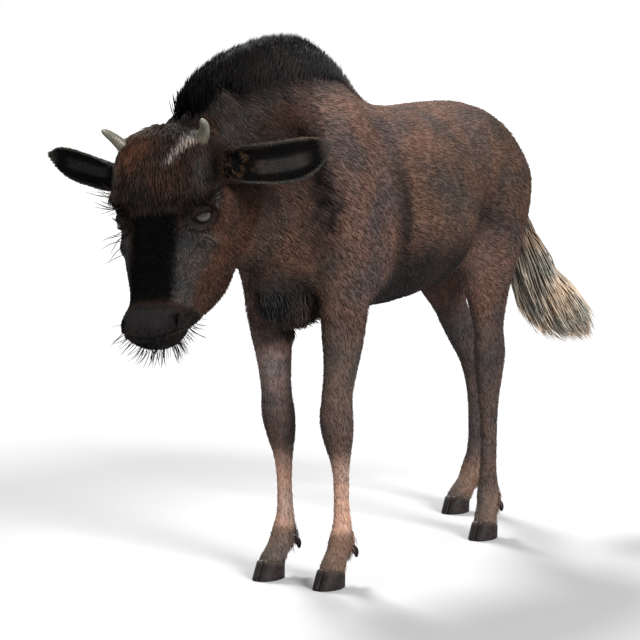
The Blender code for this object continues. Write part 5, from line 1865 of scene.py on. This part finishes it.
# %% The tail
TAIL_TOP = (0.095, 0.080, 0.063)
TAIL_PALE = (0.300, 0.255, 0.195)

hangs = is_tail & (tail_share > 0.32)
tail_long = 0.050 + 0.070 * ramp(0.35, 0.60, tail_share) - 0.020 * ramp(0.75, 1.0, tail_share)
tail_lift = 0.08 + 0.07 * ramp(0.42, 0.60, tail_share) - 0.11 * ramp(0.75, 1.0, tail_share)
tail_lie = tail_way.copy()
lay(
    tail_lie,
    ((0.20, 0.26, -0.95), ramp(0.38, 0.50, tail_share)),
    ((0.52, 0.40, -0.75), ramp(0.60, 0.90, tail_share)),
)
tail_hue = rows_of(*TAIL_TOP)
lay(tail_hue, (TAIL_PALE, ramp(0.45, 0.75, tail_share)))
tail_fields = {
    "lie": unit(tail_lie),
    "fur": rows_of(0.0026, tail_long, tail_lift),
    "cover": hangs * 1.0,
    "hue": tail_hue,
}
tail_hair = grow(
    "tail_hair", hangs, tail_fields, tail_blades, 4800 * QUICK_SHARE, tail_paint,
    seed=47, disorder=0.09, size_spread=0.25,
)

# %% [markdown]
# ### Bristles and whiskers
# Stiff black bristles stand round the mouth, and some longer whiskers below the eyes. Each stands
# away from a point deep in the head, so that they spread like the rays of a fan.

# %% Bristles and whiskers
BRISTLE_BLACK = (0.008, 0.007, 0.007)


def stiff_hairs(name, mask, least, centre, size, count, **settings):
    """So many stiff hairs where a mask is over its least value, pointing away from a centre."""
    stiff_fields = {
        "lie": out_of_head(unit(local - centre), turn_only=True),
        "fur": rows_of(*size, 0.0),
        "cover": mask,
        "hue": rows_of(*BRISTLE_BLACK),
    }
    return grow(name, mask > least, stiff_fields, long_blades, count, mane_paint, **settings)


muzzle = is_head * ramp(-0.262, -0.280, hz) * (1 - pad)
muzzle *= 0.25 + ramp(0.02, 0.06, hy) + (hz < -0.30)
bristles = stiff_hairs(
    "bristles", muzzle, 0.02, (0, 0.035, -0.262), (0.0013, 0.0290), 150,
    seed=53, disorder=0.22, size_spread=0.35,
)
below_eye = is_head * ridge(eye_gap, 0, 0.034) * (1 - in_eye) * (hy < 0.03)
whiskers = stiff_hairs(
    "whiskers", below_eye, 0.1, (0, 0.060, -0.090), (0.0010, 0.0340), 64,
    seed=59, disorder=0.35, size_spread=0.45,
)

# %% [markdown]
# ## The skin's own finish
# With the coat grown, the skin takes its colours and its streaks, and stands for the CAD nodes of
# flesh. Under the mane it is darkened once more, so that it doesn't shine through.

# %% The skin's finish
HEAD_PIECES = ("fur_face", "fur_cheeks", "fur_forehead")

lay(hue, (SOOT_BLACK_AND_SHADE, is_mane))
store_hue(skin.data, hue)
layer = skin.data.uv_layers.new(name="sheet")
layer.data.foreach_set("uv", unrolled(skin_faces)[1].astype(np.float32).ravel())
skin.data.materials.clear()
skin.data.materials.append(hide)
skin.data.shade_smooth()
flesh = ["head", "neck", "torso", "tail", "ear_left", "ear_right"]
flesh += [f"fore_{side}_{part}" for side in EAR_TIPS for part in ("forearm", "shank", "pastern")]
flesh += [f"hind_{side}_{part}" for side in EAR_TIPS for part in ("gaskin", "shank", "pastern")]
place(skin, "coat_body", *flesh)
for piece in coat:
    place(piece, "coat_head" if piece.name in HEAD_PIECES else "coat_body")
place(mane, "coat_neck")
place(beard, "coat_neck")
place(tail_hair, "coat_tail")
place(bristles, "coat_head")
place(whiskers, "coat_head")
print("the skin stands for", len(flesh), "nodes")

# %% [markdown]
# ## Eyes
# In life the eye is dark and wet. Here it is half closed and dull, so the ball is a plain sphere
# with a matt surface, and a pale painted reflection lies on it, strongest low down. Each of its
# points carries its place as seen from the front, which tells iris, rim and the long level pupil.

# %% Eyes
EYE_BROWN = (0.012, 0.007, 0.005, 1)
# A pale painted reflection, strongest low on the ball.
EYE_PAINTED_REFLECTION = (0.034, 0.032, 0.029, 1)


def eye_paint():
    """The ball: a pale painted reflection low down, dark at the rim of the iris and in the level
    pupil.
    """
    paint, tree, shader = new_paint(
        "eye", 0.20, Specular_IOR_Level=0.12, Coat_Weight=0.10, Coat_Roughness=0.06
    )
    gaze = carried(tree, "gaze", "Vector")
    parts = add(tree, "ShaderNodeSeparateXYZ", {"Vector": gaze}).outputs
    flat = add(tree, "ShaderNodeCombineXYZ", {"X": parts["X"], "Y": parts["Y"]}).outputs[0]
    from_middle = vector_maths(tree, "LENGTH", flat)
    from_pupil = vector_maths(tree, "LENGTH", vector_maths(tree, "MULTIPLY", flat, (2.4, 5.2, 0)))
    # painted reflection, pale and strongest low on the ball
    painted_reflection = mixed(tree, spread(tree, parts["Y"], 1, 0, -0.30, 0.16), EYE_BROWN, EYE_PAINTED_REFLECTION)
    flecks = spread(tree, noise(tree, 900, 2), 0.6, 1.4)
    edge = spread(tree, from_middle, 1.0, 0.30, 0.66, 0.80)
    pupil = spread(tree, from_pupil, 0.72, 1.0, 0.80, 1.10)
    coloured(tree, shader, scaled(tree, painted_reflection, flecks, edge, pupil))
    return paint


def make_eye(name):
    mesh = bmesh.new()
    bmesh.ops.create_uvsphere(mesh, u_segments=64, v_segments=32, radius=EYE_RADIUS)
    made = as_object(name, mesh)
    turn = Vector((0, 0, 1)).rotation_difference(EYE_AXIS).to_matrix().to_4x4()
    made.data.transform(Matrix.Translation(EYE_AT) @ turn)
    offset = (points_of(made) - EYE_PLACE) / EYE_RADIUS
    gaze = np.column_stack((*across_eye(offset), offset @ np.array(EYE_AXIS)))
    store(made.data, "gaze", "FLOAT_VECTOR", "POINT", gaze)
    made.data.shade_smooth()
    return made


eye_finish = eye_paint()
left_eye = make_eye("ball_left")
for eye, node in ((mirrored(left_eye, "ball_right"), "eye_right"), (left_eye, "eye_left")):
    eye.data.materials.append(eye_finish)
    eye.data.transform(HEAD_PLACE)
    place(eye, "eye", node)
print("eye points", len(left_eye.data.vertices))

# %% [markdown]
# ### Lids and lashes
# The lids are bare dark skin with fine folds, darker at their edge. The lashes are too few to need
# a scatter, so each is a thin tube from the upper lid's edge, bent up at its end.

# %% The finish of lids and lashes
LID_EDGE = (0.004, 0.0030, 0.0027)
LASHES = 26


def lid_paint():
    paint, tree, shader = new_paint("bare_lids", 0.60)
    spots = spread(tree, noise(tree, 420, 4), 0.7, 1.3)
    coloured(tree, shader, scaled(tree, carried(tree, "hue", "Color"), spots))
    bumped(tree, shader, noise(tree, 900, 3), 0.35, 0.0006)
    return paint


def finish_at_eye(made, colours):
    """Gives a piece of the eye's surroundings its colours, and puts it in its place."""
    store_hue(made.data, colours)
    made.data.materials.append(lid_finish)
    made.data.transform(HEAD_PLACE)
    place(made, "coat_head")


def make_lashes(name):
    """Short stiff hairs that curve up from the edge of the left upper lid."""
    hairs = []
    for k in range(LASHES):
        at = lid_oval(math.radians(22 + 136 * k / (LASHES - 1)), LID_INNER, LID_POINT)
        start = EYE_AT + at + EYE_AXIS * (math.sqrt(EYE_RADIUS**2 - at.length_squared) + 0.0012)
        length = 0.006 + 0.002 * math.sin(k * 2.1)
        way = (EYE_AXIS + at.normalized() * 0.6).normalized() * length
        middle = start + way * 0.5
        end = start + way + EYE_TALL * 0.0022
        path = [(*start, 0.0002), (*middle, 0.00018), (*end, 0.00008)]
        hairs.append(tube("lash", path, around=4, steps=2, tipped=True))
    return join(name, hairs)


lid_finish = lid_paint()
lashes = make_lashes("lashes_left")
for lash in (mirrored(lashes, "lashes_right"), lashes):
    finish_at_eye(lash, np.tile(BLACK, (len(lash.data.vertices), 1)))

for lid in (lids, right_lids):
    long, tall = across_eye(folded_over(points_of(lid)) - EYE_PLACE)
    out = np.hypot(long / LID_OUTER[0], tall / LID_OUTER[2])
    lid_hue = np.tile(LID_HUE, (len(out), 1))
    lay(lid_hue, (LID_EDGE, ramp(0.68, 0.55, out)))
    lid.data.shade_smooth()
    finish_at_eye(lid, lid_hue)
print("lash points", len(lashes.data.vertices))

# %% [markdown]
# ## Horns
# A calf's horns are short straight spikes, grey-green, olive at their base, with faint rings. Each
# is a tube whose points carry how high they are, which places the colours and the rings.

# %% Horns
HORN_TIP = Vector((0.0867, -0.0304, 0.0235))
HORN_OLIVE = (0.050, 0.042, 0.026, 1)
HORN_GREY = (0.085, 0.080, 0.062, 1)
# The radius at each share of the way from base to tip. The first lies inside the head.
HORN_RADII = [
    (-0.22, 0.0112), (0.0, 0.0108), (0.3, 0.0093), (0.6, 0.0074),
    (0.85, 0.0056), (0.96, 0.0036), (1.0, 0.0018),
]


def horn_paint():
    paint, tree, shader = new_paint("horn", 0.42)
    high = carried(tree, "high")
    colour = mixed(tree, spread(tree, high, 0, 1, 0.1, 0.8), HORN_OLIVE, HORN_GREY)
    stains = spread(tree, noise(tree, 260, 5), 0.6, 1.35)
    coloured(tree, shader, scaled(tree, colour, stains))
    rings = maths(tree, "SINE", maths(tree, "MULTIPLY", high, 70.0))
    grain = maths(tree, "MULTIPLY", noise(tree, 700, 3), 1.5)
    bumped(tree, shader, maths(tree, "ADD", rings, grain), 0.4, 0.0004)
    return paint


def make_horn(name):
    """A short spike with a rounded tip, bent a little forwards."""
    base = Vector(HORN_AT)
    way = HORN_TIP - base
    rows = []
    for share, radius in HORN_RADII:
        bend = Vector((0.003, 0.004, 0.004)) * math.sin(math.pi * max(share, 0))
        rows.append((*(base + way * share + bend), radius))
    made = tube(name, rows, around=28, steps=5, tipped=True)
    high = (points_of(made) - np.array(base)) @ np.array(way) / way.length_squared
    store(made.data, "high", "FLOAT", "POINT", high)
    made.data.shade_smooth()
    return made


horn_finish = horn_paint()
left_horn = make_horn("spike_left")
for horn, node in ((mirrored(left_horn, "spike_right"), "horn_right"), (left_horn, "horn_left")):
    horn.data.materials.append(horn_finish)
    horn.data.transform(HEAD_PLACE)
    place(horn, "horn", node)
print("horn", round((HORN_TIP - Vector(HORN_AT)).length, 3), "long")

# %% [markdown]
# ## Hooves
# Each foot is cloven: two claws of dark horn, flat below, with a paler band under the coronet and
# faint growth rings.

# %% Claws
# How far the toe and the heel reach, and how far the toe slopes back up to the coronet.
TOE = 0.046
TOE_SLOPE = 0.022
HEEL = 0.022
CLAW_WIDTH = 0.0243
CLEFT = 0.0024
CORONET_FRONT = 0.034
CORONET_BACK = 0.023
CORONET_SLOPE = (CORONET_FRONT - CORONET_BACK) / (TOE - TOE_SLOPE + HEEL)
CLAW_LEVELS = (0.0, 0.04, 0.15, 0.3, 0.45, 0.6, 0.75, 0.88, 0.96, 1.0)
CLAW_TUCKS = {0.0: 0.0012, 0.96: 0.0012, 1.0: 0.0050}  # rounds the edges at the ends
CLAW_AROUND = 32
HOOF_DARK = (0.012, 0.0098, 0.0094, 1)
HOOF_BAND = (0.030, 0.022, 0.018, 1)


def hoof_paint():
    paint, tree, shader = new_paint("hoof", 0.5)
    high = carried(tree, "high")
    colour = mixed(tree, spread(tree, high, 0, 1, 0.70, 1.0), HOOF_DARK, HOOF_BAND)
    stains = spread(tree, noise(tree, 120, 5), 0.55, 1.45)
    coloured(tree, shader, scaled(tree, colour, stains))
    rings = maths(tree, "SINE", maths(tree, "MULTIPLY", high, 42.0))
    bumped(tree, shader, rings, 0.35, 0.0004)
    return paint


def make_claw(name, at, side):
    """One half of a cloven hoof: flat below and along the cleft, and sloping in front."""
    loops = []
    for rise in CLAW_LEVELS:
        toe, heel = TOE - TOE_SLOPE * rise, HEEL - 0.001 * rise
        tuck = CLAW_TUCKS.get(rise, 0.0)
        width = CLAW_WIDTH - 0.0013 * rise - tuck - CLEFT / 2
        middle, half = (toe - heel) / 2, (toe + heel) / 2 - tuck
        loop = []
        for k in range(CLAW_AROUND):
            turn = math.pi * k / (CLAW_AROUND - 1)
            ahead = middle + half * math.cos(turn)
            out = CLEFT / 2 + width * math.sin(turn) ** 0.62
            out *= 1 - 0.30 * max(0, math.cos(turn)) ** 2
            top = CORONET_BACK + CORONET_SLOPE * (ahead + HEEL)
            loop.append(Vector((side * max(out, CLEFT / 2), -ahead, rise * top)) + at)
        loops.append(loop)
    made = skinned(name, loops)
    where = points_of(made) - np.array(at)
    top = CORONET_BACK + CORONET_SLOPE * (HEEL - where[:, 1])
    store(made.data, "high", "FLOAT", "POINT", where[:, 2] / top)
    return made


print("a claw is", TOE + HEEL, "long")

# %% [markdown]
# Behind the fetlock are two small hooked dewclaws. They and the claws stand on each leg at the
# rings of its path, and each stands for its own CAD node.

# %% Dewclaws and feet
# A dewclaw's steps outwards, backwards and down from the fetlock, and its radius.
DEWCLAW_AT = (0.011, 0.010, 0.060)
DEWCLAW = [
    (0.0, 0.0, 0.0, 0.0068), (0.002, 0.010, -0.002, 0.0066),
    (0.003, 0.017, -0.009, 0.0050), (0.003, 0.019, -0.017, 0.0022),
]


def make_dewclaw(name, at, side):
    """A small hooked claw behind the fetlock."""
    turned = Vector((side, 1, 1))
    start = at + Vector(DEWCLAW_AT) * turned
    rows = [(*(start + Vector(step) * turned), radius) for *step, radius in DEWCLAW]
    made = tube(name, rows, around=16, steps=4, tipped=True)
    store(made.data, "high", "FLOAT", "POINT", np.full(len(made.data.vertices), 0.3))
    return made


hoof_finish = hoof_paint()
for leg, (sizes, path) in LEGS.items():
    foot = Vector(((path[-2][0] + path[-1][0]) / 2, (path[-2][1] + path[-1][1]) / 2, 0))
    fetlock = Vector((*path[-4], 0))
    for side, word in ((1, "outer"), (-1, "inner")):
        turned = side if foot.x > 0 else -side
        for maker, at, node in ((make_claw, foot, "claw"), (make_dewclaw, fetlock, "dewclaw")):
            hoof = maker(f"{node}_{leg}_{word}", at, turned)
            hoof.data.materials.append(hoof_finish)
            hoof.data.shade_smooth()
            place(hoof, "hoof", f"{leg}_{node}_{word}")
    print(leg, "stands at", foot[:2])

# %% [markdown]
# ## Clearing up
# The blades were only stamps for the coat, so they go, and the triangles of all that renders are
# counted.

# %% Clearing up and the count of triangles
for home in (short_blades, shaggy_blades, long_blades, tail_blades):
    for blade in list(home.objects):
        bpy.data.objects.remove(blade)
    bpy.data.collections.remove(home)
bpy.context.view_layer.update()
total = sum(len(face.vertices) - 2 for piece in scene.objects
            if piece.type == "MESH" and not piece.hide_render for face in piece.data.polygons)
print("triangles in all", total)
